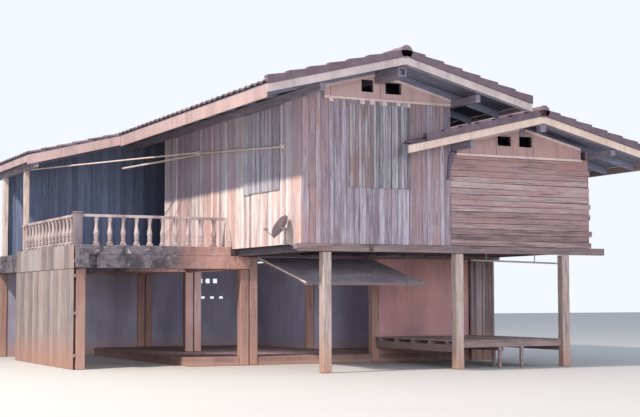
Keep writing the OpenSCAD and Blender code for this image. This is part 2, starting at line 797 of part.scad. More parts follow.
module rafter_row(roof, side, run, y)
    across(y, y + rafter_w) on_ridge(roof, side) slope_strip(0, run, -barge_h, 0, roof[2]);

module roof_rafters() color(dark_timber) {
    first = -main_rake + barge_t;
    step = (house_l + 2 * main_rake - 2 * barge_t - rafter_w - rafter_gap) / main_rafters;
    for (i = [0:main_rafters]) {
        y = first + i * step;
        left_run = (y > lean_to_y ? lean_to_run : main_run) - fascia_t;
        rafter_row(main_roof, -1, left_run, y);
        rafter_row(main_roof, 1, main_run - fascia_t, y + rafter_gap);
    }
    wing_step = (wing_l + 2 * wing_rake - 2 * barge_t - rafter_w - rafter_gap) / wing_rafters;
    for (i = [0:wing_rafters]) {
        y = -wing_rake + barge_t + i * wing_step;
        inner_run = y < -rafter_w ? wing_run : wing_ridge_x - main_w;
        rafter_row(wing_roof, -1, inner_run, y);
        rafter_row(wing_roof, 1, wing_run - fascia_t, y + rafter_gap);
    }
}

module lean_to_posts() color(timber) {
    left = lean_to_plate_x - lean_to_post_w / 2;
    top = plate_foot(lean_to_plate_x, -1);
    for (y = lean_to_post_y) block([left, y, floor_z], [left + lean_to_post_w, y + lean_to_post_w, top]);
}

// Bent bracket in the corner between the gable wall and the wing
module knee_bracket() color(dark_timber)
    across(-40, 0) translate([main_w, 0])
        polygon([[70, 4350], [-30, 4350], [-75, 4150], [-110, 3780], [-60, 3780], [-15, 4060], [70, 4230]]);

// Straight poles for drying clothes: one along the wall, two that go on to the lean-to
pole_knot = [-80, 5280, 4680];
module drying_poles() color("#c8a890") {
    rod([-45, 830, 4370], pole_knot, 20);
    rod([-45, 5240, 4650], [-1160, 7360, 4480], 22);
    rod([-60, 5260, 4700], [-3160, 8195, 4440], 17);
    block([-70, 810, 4330], [0, 850, 4410]);
    block([-110, 5260, 4620], [0, 5300, 4730]);
    // A pole hung under the wing's floor
    rod([4390, 980, 2215], [6640, 1000, 2165], 18);
    for (x = [4785, 6025]) rod([x, 990, 2190], [x, 990, floor_z - joist_h], 10);
}

// A small dish on a bent pipe that is bolted to the end of the front girder; it faces left, back and up
dish_r = 235;
dish_depth = 42;
dish_t = 6;
dish_lip = 7;
dish_aim = [130, 58];
dish_off = 90;
mast_r = 18;
mast_foot = [girder_x[0][0] - 18, 30, 2400];
mast_bend = [-140, 460, 2490];
mast_top = [-140, 460, 2765];
strut_r = 15;
clamp = [26, 26, 34];
clamp_gap = 0.05;
feed_arm = [[20, 0, -30], [256, 0, 26], [216, 0, 262]];
feed_horn = [[222, 0, 300], [184, 0, 238]];
bowl_rings = 8;

// A pipe through a list of points, with a sleeve at each bend
module bent_rod(points, r) {
    for (i = [1:len(points) - 1]) rod(points[i - 1], points[i], r);
    for (i = [1:len(points) - 2]) translate(points[i]) sphere(r + 3, $fn = 32);
}

// A bowl of even thickness with a rolled lip
module bowl() {
    outer = [for (i = [0:bowl_rings]) [dish_r * i / bowl_rings, dish_depth * pow(i / bowl_rings, 2)]];
    inner = [for (i = [bowl_rings - 1:-1:0]) outer[i] + [0, dish_t]];
    lip = [[dish_r + dish_lip, dish_depth + 2], [dish_r + dish_lip, dish_depth + 2 + dish_lip],
           [dish_r - 2, dish_depth + 2 + dish_lip]];
    rotate_extrude($fn = 64) polygon(concat(outer, lip, inner));
}

module satellite_dish() color("#6a6468") {
    block([mast_foot.x - 22, mast_foot.y - 50, mast_foot.z - 50],
          [girder_x[0][0], mast_foot.y + 50, mast_foot.z + 50]);
    // The strut and the mast are held by a clamp block where they meet
    block(mast_bend - clamp, mast_bend + clamp);
    rod(mast_foot, mast_bend + (mast_foot - mast_bend) * clamp_gap, strut_r);
    translate(mast_bend + [0, 0, 12]) cylinder(h = mast_top.z - mast_bend.z - 12, r = mast_r, $fn = 32);
    translate(mast_top - [0, 0, 35]) rotate([0, 0, dish_aim[0]]) rotate([0, dish_aim[1], 0])
        translate([0, 0, dish_off]) {
            bowl();
            translate([-30, -35, -dish_off - 20]) cube([60, 70, dish_off + 20 + dish_t / 2]);
            bent_rod(feed_arm, 9);
            rod(feed_horn[0], feed_horn[1], 24);
        }
}

translate(shift) {
    plinth();
    front_posts();
    inner_posts();
    balcony_columns();
    lower_front_wall();
    lower_plank_panel();
    lower_side_walls();
    lower_rear_walls();
    awning_sheet();
    awning_frame();
    platform_deck();
    platform_frame();
    balcony_slab();
    balcony_edge_beams();
    balcony_balusters();
    balcony_handrail();
    balcony_posts();
    side_screen();
    floor_girders();
    floor_joists();
    floor_boards();
    main_gable_wall();
    main_left_wall();
    main_right_wall();
    room_rear_wall();
    hall_rear_wall();
    wing_gable_wall();
    wing_right_wall();
    wing_rear_wall();
    gable_shutters();
    side_shutters();
    gable_panels();
    main_roof_left();
    main_roof_right();
    lean_to_roof();
    wing_roof_left();
    wing_roof_right();
    ridge_caps();
    verge_tiles();
    main_bargeboards();
    wing_bargeboards();
    eave_fascias();
    roof_purlins();
    roof_rafters();
    lean_to_posts();
    knee_bracket();
    drying_poles();
    satellite_dish();
}
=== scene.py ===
# %% [markdown]
# A timber house on posts, dressed in Blender. The carpentry is already there as solids: posts, beams,
# walls, roof slopes. This script gives each surface what a builder's hand and forty years of weather
# give it: separate boards with gaps, lapped tiles, worn edges, stains. Everything is in metres.

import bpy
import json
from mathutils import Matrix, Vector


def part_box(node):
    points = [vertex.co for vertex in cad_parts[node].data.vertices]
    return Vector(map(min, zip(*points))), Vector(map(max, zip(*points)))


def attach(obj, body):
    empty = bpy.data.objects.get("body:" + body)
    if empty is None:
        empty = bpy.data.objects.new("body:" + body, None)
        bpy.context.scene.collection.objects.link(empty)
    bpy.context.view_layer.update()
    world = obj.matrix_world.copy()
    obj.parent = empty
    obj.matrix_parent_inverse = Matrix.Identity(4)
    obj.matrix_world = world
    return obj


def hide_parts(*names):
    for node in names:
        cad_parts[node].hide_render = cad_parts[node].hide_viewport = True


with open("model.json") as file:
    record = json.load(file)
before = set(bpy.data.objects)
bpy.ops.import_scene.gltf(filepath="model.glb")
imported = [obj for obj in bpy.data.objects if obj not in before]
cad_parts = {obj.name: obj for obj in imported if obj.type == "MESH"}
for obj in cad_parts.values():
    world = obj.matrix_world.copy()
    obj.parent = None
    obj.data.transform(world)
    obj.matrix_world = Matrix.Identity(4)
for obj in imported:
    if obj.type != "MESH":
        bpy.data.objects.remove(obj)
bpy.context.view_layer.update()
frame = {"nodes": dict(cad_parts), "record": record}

# %% What the steps below use
import json
import math
import random

import bpy
from mathutils import Matrix, Vector

SEED = 24
chance = random.Random(SEED)

# %% [markdown]
# Almost every tool in Blender acts on what is selected, and the loaded solids arrive selected. So the
# first helper clears the selection and picks only the pieces that the next step is about. The others
# add a primitive by itself, open a whole mesh for editing, or choose some of its points or edges.

# %% Pick pieces
def pick(*pieces):
    """Selects only these pieces, the first one active."""
    bpy.ops.object.select_all(action="DESELECT")
    for piece in pieces:
        piece.select_set(True)
    bpy.context.view_layer.objects.active = pieces[0]


def settle(piece):
    """Puts a piece's place, turn and size into its mesh, so that its object sits at the origin."""
    pick(piece)
    bpy.ops.object.transform_apply(location=True, rotation=True, scale=True)
    return piece


def apply_all(piece):
    """Applies each modifier of a piece in turn."""
    pick(piece)
    for modifier in list(piece.modifiers):
        bpy.ops.object.modifier_apply(modifier=modifier.name)


def fresh(add, **how):
    """Adds a primitive with nothing else selected, and settles it."""
    bpy.ops.object.select_all(action="DESELECT")
    add(**how)
    return settle(bpy.context.object)


def faces(piece):
    """How many faces a piece has, for the printed lines."""
    return f"{len(piece.data.polygons)} faces"


def in_scene(name, data):
    """A new object for a mesh, lamp or camera, linked into the scene."""
    thing = bpy.data.objects.new(name, data)
    bpy.context.scene.collection.objects.link(thing)
    return thing


pick(frame["nodes"]["plinth"])
print("selected:", [piece.name for piece in bpy.context.selected_objects])

# %% Edit a mesh
def mode(name):
    """Goes into edit mode, or back to object mode."""
    bpy.ops.object.mode_set(mode=name)


def open_whole(piece):
    """Goes into edit mode with all of a piece's mesh selected."""
    pick(piece)
    mode("EDIT")
    bpy.ops.mesh.select_all(action="SELECT")


def choose(piece, rule, kind="VERT"):
    """Goes into edit mode with only those points or edges selected whose places fit a rule."""
    pick(piece)
    mode("EDIT")
    bpy.ops.mesh.select_mode(type=kind)
    bpy.ops.mesh.select_all(action="DESELECT")
    mode("OBJECT")
    points = piece.data.vertices
    if kind == "VERT":
        for point in points:
            point.select = rule(point.co)
    else:
        for edge in piece.data.edges:
            edge.select = rule(*[points[i].co for i in edge.vertices])
    mode("EDIT")


print("pieces selected now:", len(bpy.context.selected_objects))

# %% [markdown]
# Places on the house are easier to read from one corner than from the middle of its footprint. The
# corner used here is the near left one of the main room, where the gable meets the left wall. Both
# roofs are read from the solids in the same way: where the ridge runs, and how far each slope drops.

# %% Places on the house
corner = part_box("main_gable_wall")[0]
FLOOR = corner.z
WALL_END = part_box("main_gable_wall")[1].x - corner.x


def place(x, y, z):
    """A point measured right and back from the near left corner, and up from the ground."""
    return Vector((corner.x + x, corner.y + y, z))


class Roof:
    """One gabled roof: its ridge, the height of the tiles' underside there, and its slope."""

    def __init__(self, left, right, degrees):
        low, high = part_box(right)
        self.ridge_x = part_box(left)[1].x
        self.run = high.x - self.ridge_x
        self.pitch = math.radians(degrees)
        self.slope = math.tan(self.pitch)
        self.ridge_z = low.z + self.run * self.slope
        self.front = low.y
        self.back = high.y

    def under(self, x):
        """Height of the tiles' underside at a place across the house."""
        return self.ridge_z - self.slope * abs(x - self.ridge_x)


main_roof = Roof("main_roof_left", "main_roof_right", 14.1)
wing_roof = Roof("wing_roof_left", "wing_roof_right", 13.4)
print("main ridge", round(main_roof.ridge_z, 3), "wing ridge", round(wing_roof.ridge_z, 3))

# %% [markdown]
# The camera comes next, because it says which details will be seen. It stands at eye height, 25 m from
# the near corner, turned to the right and a little up, with a lens somewhat longer than a normal one.
# The photo's width and the lens are given in its pixels.

# %% Camera
SENSOR, FOCAL_PIXELS, WIDTH_PIXELS = 36, 1320, 640
EYE = (-13.146, -27.694, 1.40)
camera_data = bpy.data.cameras.new("street_camera")
camera_data.sensor_width = SENSOR
camera_data.lens = SENSOR * FOCAL_PIXELS / WIDTH_PIXELS
camera = in_scene("street_camera", camera_data)
turn_right, tilt_up, roll = 0.4607, 0.0686, 0.0019
camera.matrix_world = (
    Matrix.Translation(EYE)
    @ Matrix.Rotation(-turn_right, 4, "Z")
    @ Matrix.Rotation(math.pi / 2 + tilt_up, 4, "X")
    @ Matrix.Rotation(-roll, 4, "Z")
)
bpy.context.scene.camera = camera
print("camera", [round(c, 2) for c in camera.matrix_world.translation])

# %% [markdown]
# The light is a plain studio: a lamp high on the left, where the sun stands, a weak wide one on the
# right, a low wide one in front, and an even, slightly blue world. The left wall then reads bright and
# the gable fronts stay cooler. A small lamp under the house lifts the deep shade there. What the camera
# sees behind the house is a separate, paler world, picked by the kind of ray, so that the backdrop is
# bright and the light on the house stays as it is.

# %% Lamps
def lamp(name, spot, aim, size, power, colour):
    """A round lamp at a spot, turned towards its aim."""
    data = bpy.data.lights.new(name, "AREA")
    data.shape = "DISK"
    data.size = size
    data.energy = power
    data.color = colour
    thing = in_scene(name, data)
    thing.location = spot
    thing.rotation_euler = (aim - spot).to_track_quat("-Z", "Y").to_euler()


middle = Vector((0, 0, 2.5))
lamp("key", Vector((-21, -8.4, 23.4)), middle, 1.4, 10800, (1.0, 0.91, 0.81))
lamp("fill", Vector((16, -24, 12)), middle, 14, 900, (0.90, 0.94, 1.0))
lamp("low_front", Vector((-7.4, -40, 5.7)), middle, 11, 4900, (0.86, 0.91, 1.0))
lamp("under_house", place(0.9, 4.5, 1.3), place(3.0, 9.5, 1.3), 1.0, 55, (0.74, 0.82, 1.0))
bpy.context.scene.view_settings.view_transform = "Standard"

# %% World and floor
world = bpy.data.worlds.new("studio")
bpy.context.scene.world = world
world.use_nodes = True
tree = world.node_tree
light = tree.nodes["Background"]
light.inputs["Color"].default_value = (0.68, 0.80, 1.0, 1)
light.inputs["Strength"].default_value = 0.78
backdrop = tree.nodes.new("ShaderNodeBackground")
backdrop.inputs["Color"].default_value = (0.90, 0.95, 1.0, 1)
backdrop.inputs["Strength"].default_value = 1.0
rays = tree.nodes.new("ShaderNodeLightPath")
seen = rays.outputs["Is Camera Ray"]
for kind in ("Is Glossy Ray", "Is Transmission Ray"):
    either = tree.nodes.new("ShaderNodeMath")
    either.operation = "MAXIMUM"
    tree.links.new(seen, either.inputs[0])
    tree.links.new(rays.outputs[kind], either.inputs[1])
    seen = either.outputs[0]
choice = tree.nodes.new("ShaderNodeMixShader")
tree.links.new(seen, choice.inputs["Fac"])
tree.links.new(light.outputs[0], choice.inputs[1])
tree.links.new(backdrop.outputs[0], choice.inputs[2])
tree.links.new(choice.outputs[0], tree.nodes["World Output"].inputs["Surface"])

floor = fresh(bpy.ops.mesh.primitive_plane_add, size=160, location=(0, 0, -0.001))
floor.name = "studio_floor"
print("world nodes:", len(tree.nodes))

# %% [markdown]
# Finishes are built from a few kinds of node, so short helpers keep each recipe readable. A `Recipe`
# holds one material's node tree: `noise` gives a stretched noise in metres, `ramp` colours it, and
# `mix` lays one colour over another. All patterns read Object coordinates, because the pieces sit at
# the origin and a pattern in metres then stays put from every side.

# %% A helper for node recipes
class Recipe:
    """One material, built node by node."""

    def __init__(self, name, roughness):
        self.material = bpy.data.materials.new(name)
        self.material.use_nodes = True
        self.tree = self.material.node_tree
        self.shader = self.tree.nodes["Principled BSDF"]
        self.shader.inputs["Roughness"].default_value = roughness
        self.coords = self.node("ShaderNodeTexCoord").outputs["Object"]

    def node(self, kind, inputs=None, **values):
        """A new node, with values or other nodes' outputs fed into its inputs."""
        made = self.tree.nodes.new(kind)
        for key, value in values.items():
            setattr(made, key, value)
        for key, value in (inputs or {}).items():
            self.feed(made.inputs[key], value)
        return made

    def feed(self, socket, value):
        if isinstance(value, bpy.types.NodeSocket):
            self.tree.links.new(value, socket)
        elif value is not None:
            socket.default_value = value

    def math(self, operation, a, b=None):
        """One or two numbers or outputs, put through a sum."""
        return self.node("ShaderNodeMath", {0: a, 1: b}, operation=operation).outputs[0]

    def own(self, name):
        """A number that each board or tile carries: its tone, or how brown it is."""
        return self.node("ShaderNodeAttribute", attribute_name=name).outputs["Fac"]

    def shifted(self, stretch, tone=None):
        """Object coordinates stretched by three factors, and moved on by each piece's own number."""
        mapped = self.node("ShaderNodeMapping", {"Vector": self.coords, "Scale": stretch}).outputs[0]
        if tone is None:
            return mapped
        own_shift = self.math("MULTIPLY", tone, 61.7)
        return self.node("ShaderNodeVectorMath", {0: mapped, 1: own_shift}, operation="ADD").outputs[0]

    def noise(self, stretch, detail=4, rough=0.55, tone=None, warp=0.0):
        """A noise from 0 to 1; a larger stretch factor makes it finer along that axis."""
        return self.node("ShaderNodeTexNoise", {
            "Vector": self.shifted(stretch, tone), "Scale": 1, "Detail": detail,
            "Roughness": rough, "Distortion": warp}).outputs["Fac"]

    def ramp(self, value, *stops):
        """Stops are (position, colour)."""
        made = self.node("ShaderNodeValToRGB", {0: value})
        points = made.color_ramp.elements
        while len(points) < len(stops):
            points.new(0.5)
        for point, (position, colour) in zip(points, stops):
            point.position = position
            point.color = (*colour, 1)
        return made.outputs[0]

    def mix(self, amount, under, over):
        """One colour or output over another, by an amount."""
        made = self.node("ShaderNodeMix", data_type="RGBA")
        self.feed(made.inputs["Factor"], amount)
        for socket, value in ((made.inputs["A"], under), (made.inputs["B"], over)):
            self.feed(socket, value if isinstance(value, bpy.types.NodeSocket) else (*value, 1))
        return made.outputs["Result"]

    def coordinate(self, axis):
        """How far a point lies along an axis, in metres; Z is the height above the ground."""
        return self.node("ShaderNodeSeparateXYZ", {0: self.coords}).outputs[axis]

    def band(self, value, low, high):
        """0 below low, 1 above high, and a smooth rise between."""
        return self.node("ShaderNodeMapRange", {"Value": value, "From Min": low, "From Max": high},
                         interpolation_type="SMOOTHSTEP").outputs[0]

    def share(self, value, amount):
        """A part of a value."""
        return self.math("MULTIPLY", value, amount)

    def finish(self, colour, bump=None, depth=0.004, strength=0.6):
        """Feeds the shader with the colour and the relief, and hands over the material."""
        self.feed(self.shader.inputs["Base Color"], colour)
        if bump is not None:
            made = self.node("ShaderNodeBump", {"Strength": strength, "Distance": depth, "Height": bump})
            self.feed(self.shader.inputs["Normal"], made.outputs[0])
        return self.material


print("recipe helper ready")

# %% [markdown]
# Weathered wood: rain and sun take the brown out of bare boards and leave grey, first along the soft
# grain. Four noises do this here. A fine one, stretched along the board, is the grain. A broader one
# makes the pale and dark streaks that run down a board. A large one lets some brown survive, and a
# narrow one opens cracks.
# Each board carries two numbers of its own: `tone` makes it paler or darker and shifts the noises, and
# `brown` says how much of the old colour is left in it. Upright wood is red with dust near the ground,
# and on the sunny wall a painted shadow of the eaves turns the boards darker and bluer above a ragged line.

# %% Wood
ALONG_X, ALONG_Y, UP = 0, 1, 2
# Red dust rises to the first height; the painted shadow of the eaves on the sunny wall begins at the second
DUST_HEIGHT, EAVE_SHADOW_HEIGHT = 0.95, 3.74
# For each kind: dark, middle, pale and brown colour, and how much brown shows
KINDS = {
    "gable": ((0.135, 0.104, 0.122), (0.345, 0.29, 0.335), (0.60, 0.56, 0.60), (0.36, 0.225, 0.22), 0.85),
    # partly painted sunlight: paler than the gable's boards for the sun on the left wall, as well as for
    # bleaching
    "sunny": ((0.23, 0.18, 0.18), (0.60, 0.50, 0.48), (0.93, 0.87, 0.80), (0.60, 0.36, 0.32), 0.85),
    "plank": ((0.105, 0.072, 0.076), (0.335, 0.225, 0.22), (0.56, 0.44, 0.43), (0.41, 0.225, 0.205), 0.8),
    "shutter": ((0.12, 0.11, 0.12), (0.32, 0.305, 0.33), (0.55, 0.54, 0.56), (0.27, 0.175, 0.17), 0.8),
    # partly painted shade: bluer and darker than the sunny wall's palette, for the eaves' shade over the
    # side shutters
    "side_shutter": ((0.15, 0.14, 0.17), (0.38, 0.38, 0.44), (0.68, 0.67, 0.70), (0.44, 0.32, 0.32), 0.5),
    "post": ((0.20, 0.15, 0.135), (0.47, 0.37, 0.33), (0.72, 0.62, 0.55), (0.44, 0.265, 0.21), 0.5),
    "red_post": ((0.14, 0.085, 0.075), (0.31, 0.19, 0.165), (0.44, 0.30, 0.265), (0.36, 0.17, 0.13), 0.8),
    "beam": ((0.11, 0.08, 0.082), (0.25, 0.188, 0.188), (0.39, 0.305, 0.305), (0.26, 0.145, 0.13), 0.5),
    "deck": ((0.12, 0.08, 0.078), (0.29, 0.205, 0.195), (0.45, 0.35, 0.33), (0.29, 0.165, 0.14), 0.6),
    "old": ((0.055, 0.048, 0.066), (0.12, 0.105, 0.14), (0.21, 0.185, 0.225), (0.15, 0.10, 0.115), 0.5),
    # painted shade: blue-grey boards for the dim hall seen past the balcony
    "shade": ((0.115, 0.14, 0.215), (0.185, 0.225, 0.345), (0.265, 0.32, 0.46), (0.20, 0.20, 0.27), 0.3),
    # painted shade: a pale blue-grey, not a wood colour, for the shade under the roofs on rafters and
    # underlay
    "underside": ((0.16, 0.165, 0.225), (0.28, 0.29, 0.38), (0.40, 0.41, 0.50), (0.28, 0.235, 0.275), 0.3),
    "roof_beam": ((0.11, 0.095, 0.12), (0.23, 0.205, 0.25), (0.36, 0.325, 0.38), (0.25, 0.18, 0.20), 0.4),
    "screen": ((0.13, 0.11, 0.11), (0.28, 0.245, 0.245), (0.45, 0.41, 0.40), (0.33, 0.21, 0.18), 0.7),
    "bamboo": ((0.42, 0.32, 0.27), (0.64, 0.53, 0.46), (0.80, 0.71, 0.64), (0.56, 0.38, 0.30), 0.3),
}
made_woods = {}


def stretched(axis, across, lengthwise):
    """Three stretch factors, with the low one along the grain."""
    return tuple(lengthwise if a == axis else across for a in range(3))


def wood(kind, axis):
    """The finish of one kind of wood with its grain along an axis; it is made once."""
    if (kind, axis) in made_woods:
        return made_woods[kind, axis]
    dark, mid, pale, brown, share = KINDS[kind]
    r = Recipe(f"{kind}_wood_{'xyz'[axis]}", 0.88)
    tone = r.own("tone")
    grain = r.noise(stretched(axis, 58, 2.8), 6, 0.74, tone)
    streak = r.noise(stretched(axis, 17, 1.1), 6, 0.70, tone)
    blotch = r.noise(stretched(axis, 3.1, 0.9), 4, 0.6, tone)
    level = r.math("ADD", r.share(grain, 0.44), r.share(streak, 0.46))
    level = r.math("ADD", level, r.share(tone, 0.20))
    colour = r.ramp(level, (0.42, dark), (0.55, mid), (0.70, pale))
    keeps = r.math("MULTIPLY", r.math("ADD", r.band(blotch, 0.40, 0.66), 0.35), r.own("brown"))
    colour = r.mix(r.math("MINIMUM", r.share(keeps, share), 1.0), colour, brown)
    cracks = r.band(r.noise(stretched(axis, 44, 1.3), 4, 0.6, tone, 0.5), 0.31, 0.39)
    colour = r.mix(cracks, tuple(c * 0.65 for c in dark), colour)
    if axis == UP:
        foot = r.math("SUBTRACT", 1.0, r.band(r.coordinate("Z"), 0.0, DUST_HEIGHT))
        colour = r.mix(r.share(foot, 0.7), colour, (0.46, 0.235, 0.16))
    # painted shadow of the eaves: above a ragged line at the shadow's height, the sunny wall's colour is
    # mixed towards a dark blue-grey
    if kind == "sunny":
        ragged = r.math("ADD", r.coordinate("Z"), r.share(streak, 0.12))
        painted_eave_shadow = r.band(ragged, EAVE_SHADOW_HEIGHT, EAVE_SHADOW_HEIGHT + 0.10)
        colour = r.mix(r.share(painted_eave_shadow, 0.45), colour, (0.26, 0.25, 0.36))
    made_woods[kind, axis] = r.finish(colour, r.math("ADD", grain, cracks), 0.004, 0.75)
    return made_woods[kind, axis]


print("a first wood:", wood("gable", UP).name, len(wood("gable", UP).node_tree.nodes), "nodes")

# %% [markdown]
# Concrete, render, paint and metal share one idea: a base colour, broad stains, drips that follow
# gravity, fine grit, and dust near the ground. One function makes them all from two colours.

# %% Masonry, paint and metal
RED_DUST = (0.45, 0.26, 0.20)


def stained(name, base, stain, roughness=0.9, dust_height=0.6, grit_size=90, streaks=0.5):
    """A base colour with clouds of stain, drips, pale grit and dust at the foot."""
    r = Recipe(name, roughness)
    cloud = r.noise((1.6, 1.6, 0.9), 5, 0.62)
    drip = r.noise((9, 9, 0.8), 4, 0.6)
    grit = r.noise((grit_size,) * 3, 4, 0.7)
    colour = r.mix(r.band(cloud, 0.35, 0.68), base, stain)
    colour = r.mix(r.share(r.band(drip, 0.50, 0.68), streaks), colour, tuple(c * 0.5 for c in stain))
    colour = r.mix(r.share(r.band(grit, 0.55, 0.75), 0.35), colour, tuple(min(1, c * 1.35) for c in base))
    low = r.math("SUBTRACT", 1.0, r.band(r.coordinate("Z"), 0.05, dust_height))
    colour = r.mix(r.share(low, 0.75), colour, RED_DUST)
    return r.finish(colour, r.math("ADD", grit, r.share(cloud, 0.6)), 0.004, 0.5)


# For each: name, base, stain, roughness, height of the dust, size of the grit, strength of the drips
finishes = {
    "concrete": stained("rough_concrete", (0.40, 0.235, 0.19), (0.30, 0.17, 0.145)),
    "plaster": stained("red_render", (0.58, 0.30, 0.28), (0.46, 0.25, 0.245), 0.9, 0.6, 90, 0.2),
    # painted shade: a blue-grey copy of the red render, for the walls that stand in the shade under the
    # house
    "shade_render": stained("grey_render", (0.38, 0.34, 0.40), (0.29, 0.26, 0.32), 0.9, 0.5, 90, 0.15),
    "earth_floor": stained("earth_floor", (0.36, 0.215, 0.18), (0.25, 0.15, 0.13), 0.9, 0.1, 90, 0.2),
    "gable_panel": stained("faded_panel", (0.56, 0.365, 0.335), (0.48, 0.31, 0.29), 0.7, 0.1, 60, 0.25),
    "wing_panel": stained("wing_panel", (0.51, 0.305, 0.275), (0.40, 0.25, 0.235), 0.7, 0.1, 60, 0.3),
    "panel_trim": stained("panel_trim", (0.75, 0.57, 0.51), (0.62, 0.46, 0.42), 0.7, 0.1, 60, 0.25),
    "ridge_tile": stained("ridge_cement", (0.24, 0.165, 0.19), (0.13, 0.085, 0.11), 0.85, 0.1),
    "barge_paint": stained("barge_paint", (0.60, 0.48, 0.45), (0.46, 0.36, 0.345), 0.6, 0.1, 60, 0.3),
    "wing_barge_paint": stained("wing_barge", (0.76, 0.57, 0.45), (0.62, 0.45, 0.37), 0.6, 0.1, 60, 0.3),
    "eave_paint": stained("eave_paint", (0.50, 0.35, 0.325), (0.38, 0.26, 0.25), 0.6, 0.1, 60, 0.3),
    "dark_cement": stained("dark_cement", (0.25, 0.20, 0.215), (0.12, 0.09, 0.10), 0.85, 0.1, 120, 0.7),
    "baluster": stained("cast_cement", (0.52, 0.43, 0.42), (0.30, 0.215, 0.215), 0.85, 0.1, 120),
    "awning": stained("awning_sheet", (0.80, 0.70, 0.75), (0.60, 0.50, 0.55), 0.55, 0.1),
    "dish_metal": stained("dish_metal", (0.30, 0.245, 0.255), (0.19, 0.15, 0.16), 0.5, 0.1),
}
print("stained finishes:", len(finishes))

# %% [markdown]
# The balcony's slab and beams are cast concrete that never quite dries. At the outer end damp has turned
# them almost black, towards the house they are red with dust, and in places the skin has flaked off. So
# this recipe also reads how far along the house a point lies, and changes its colours with it.

# %% Damp concrete of the balcony
def damp_concrete():
    """Dark with damp at the outer end, red with dust near the house, and pale where it flakes."""
    r = Recipe("damp_concrete", 0.9)
    cloud = r.noise((2.2, 2.2, 2.6), 6, 0.68, None, 0.8)
    drip = r.noise((7, 7, 1.4), 5, 0.65, None, 0.6)
    flake = r.noise((5, 5, 9), 7, 0.72, None, 1.2)
    grit = r.noise((90, 90, 90), 4, 0.7)
    reach = r.math("ADD", r.coordinate("X"), r.share(cloud, 1.6))
    house = r.band(reach, corner.x - 0.75, corner.x + 0.45)
    dark = r.mix(r.band(cloud, 0.42, 0.58), (0.165, 0.14, 0.16), (0.05, 0.043, 0.053))
    red = r.mix(r.band(cloud, 0.40, 0.65), (0.52, 0.28, 0.23), (0.34, 0.19, 0.165))
    colour = r.mix(house, dark, red)
    colour = r.mix(r.share(r.band(drip, 0.52, 0.68), 0.55), colour, (0.06, 0.048, 0.056))
    colour = r.mix(r.share(r.band(flake, 0.57, 0.65), 0.8), colour, (0.46, 0.40, 0.40))
    return r.finish(colour, r.math("ADD", grit, r.share(flake, 1.5)), 0.005, 0.6)


finishes["stained_concrete"] = damp_concrete()
print("damp concrete:", len(finishes["stained_concrete"].node_tree.nodes), "nodes")

# %% [markdown]
# Tiles have a recipe of their own, since each one is paler or darker than its neighbour, while moss
# settles on the slope as a whole and takes no notice of the joints.

# %% Tiles
def roof_tiles():
    """Purple-brown cement, each tile a little paler or darker, with moss and worn grit."""
    r = Recipe("cement_tile", 0.8)
    tone = r.own("tone")
    grit = r.noise((160, 160, 160), 4, 0.7, tone)
    wash = r.noise((5, 3, 5), 5, 0.6, tone)
    moss = r.noise((1.1, 1.1, 1.1), 5, 0.65)
    level = r.math("ADD", r.share(wash, 0.6), r.share(tone, 0.35))
    colour = r.ramp(level, (0.25, (0.085, 0.055, 0.072)), (0.5, (0.15, 0.10, 0.12)),
                    (0.8, (0.26, 0.19, 0.20)))
    colour = r.mix(r.share(r.band(moss, 0.52, 0.72), 0.55), colour, (0.10, 0.075, 0.085))
    colour = r.mix(r.share(r.band(grit, 0.62, 0.75), 0.4), colour, (0.33, 0.27, 0.28))
    return r.finish(colour, r.math("ADD", grit, wash), 0.003, 0.5)


finishes["roof_tile"] = roof_tiles()


def finish_of(kind, axis=UP):
    """A kind of wood with its grain along an axis, or one of the other finishes."""
    return wood(kind, axis) if kind in KINDS else finishes[kind]


print("tile finish:", len(finish_of("roof_tile").node_tree.nodes), "nodes")

# %% [markdown]
# One board is modelled: a bar one metre each way, cut into short lengths so that it can be uneven.
# Each copy is stretched to its own width, thickness and length. Copies that share a mesh would all
# change together, so each has its own. The copies of one wall are then joined into one piece, their
# points are moved a millimetre or two at random, and a small bevel takes the sharpness off the edges.

# %% One board
def bar(cuts):
    """A unit bar from the origin, its long edges along Z divided by cuts."""
    piece = fresh(bpy.ops.mesh.primitive_cube_add, size=1, location=(0.5, 0.5, 0.5))
    choose(piece, lambda a, b: abs(a.z - b.z) > 0.5, "EDGE")
    bpy.ops.mesh.subdivide(number_cuts=cuts)
    mode("OBJECT")
    return piece


board_pattern = bar(cuts=8)
board_pattern.name = "board_pattern"


def carry(mesh, tone, brown):
    """Writes the two numbers of a piece on all its points."""
    for name, value in (("tone", tone), ("brown", brown)):
        values = mesh.attributes.new(name, "FLOAT", "POINT")
        values.data.foreach_set("value", [value] * len(mesh.vertices))


def copy_in(pattern, matrix, tone=None, brown=0.5):
    """A copy of a pattern with its own mesh, put in place."""
    mesh = pattern.data.copy()
    mesh.transform(matrix)
    carry(mesh, chance.random() if tone is None else tone, brown)
    return in_scene("copy", mesh)


SWAPS = {
    UP: Matrix.Identity(4),
    ALONG_X: Matrix(((0, 0, 1, 0), (0, 1, 0, 0), (1, 0, 0, 0), (0, 0, 0, 1))),
    ALONG_Y: Matrix(((1, 0, 0, 0), (0, 0, 1, 0), (0, 1, 0, 0), (0, 0, 0, 1))),
}


def board(low, high, axis, tone=None, brown=0.5, move=None):
    """A board that fills the box from low to high, its grain along the axis; move turns it after."""
    matrix = Matrix.Translation(low) @ Matrix.Diagonal((*(high - low), 1)) @ SWAPS[axis]
    return copy_in(board_pattern, move @ matrix if move else matrix, tone, brown)


print("board pattern:", faces(board_pattern))

# %% Join boards, cut openings, dress a piece
def named(piece, name):
    """Gives a piece and its mesh the same name."""
    piece.name = name
    piece.data.name = name
    return piece


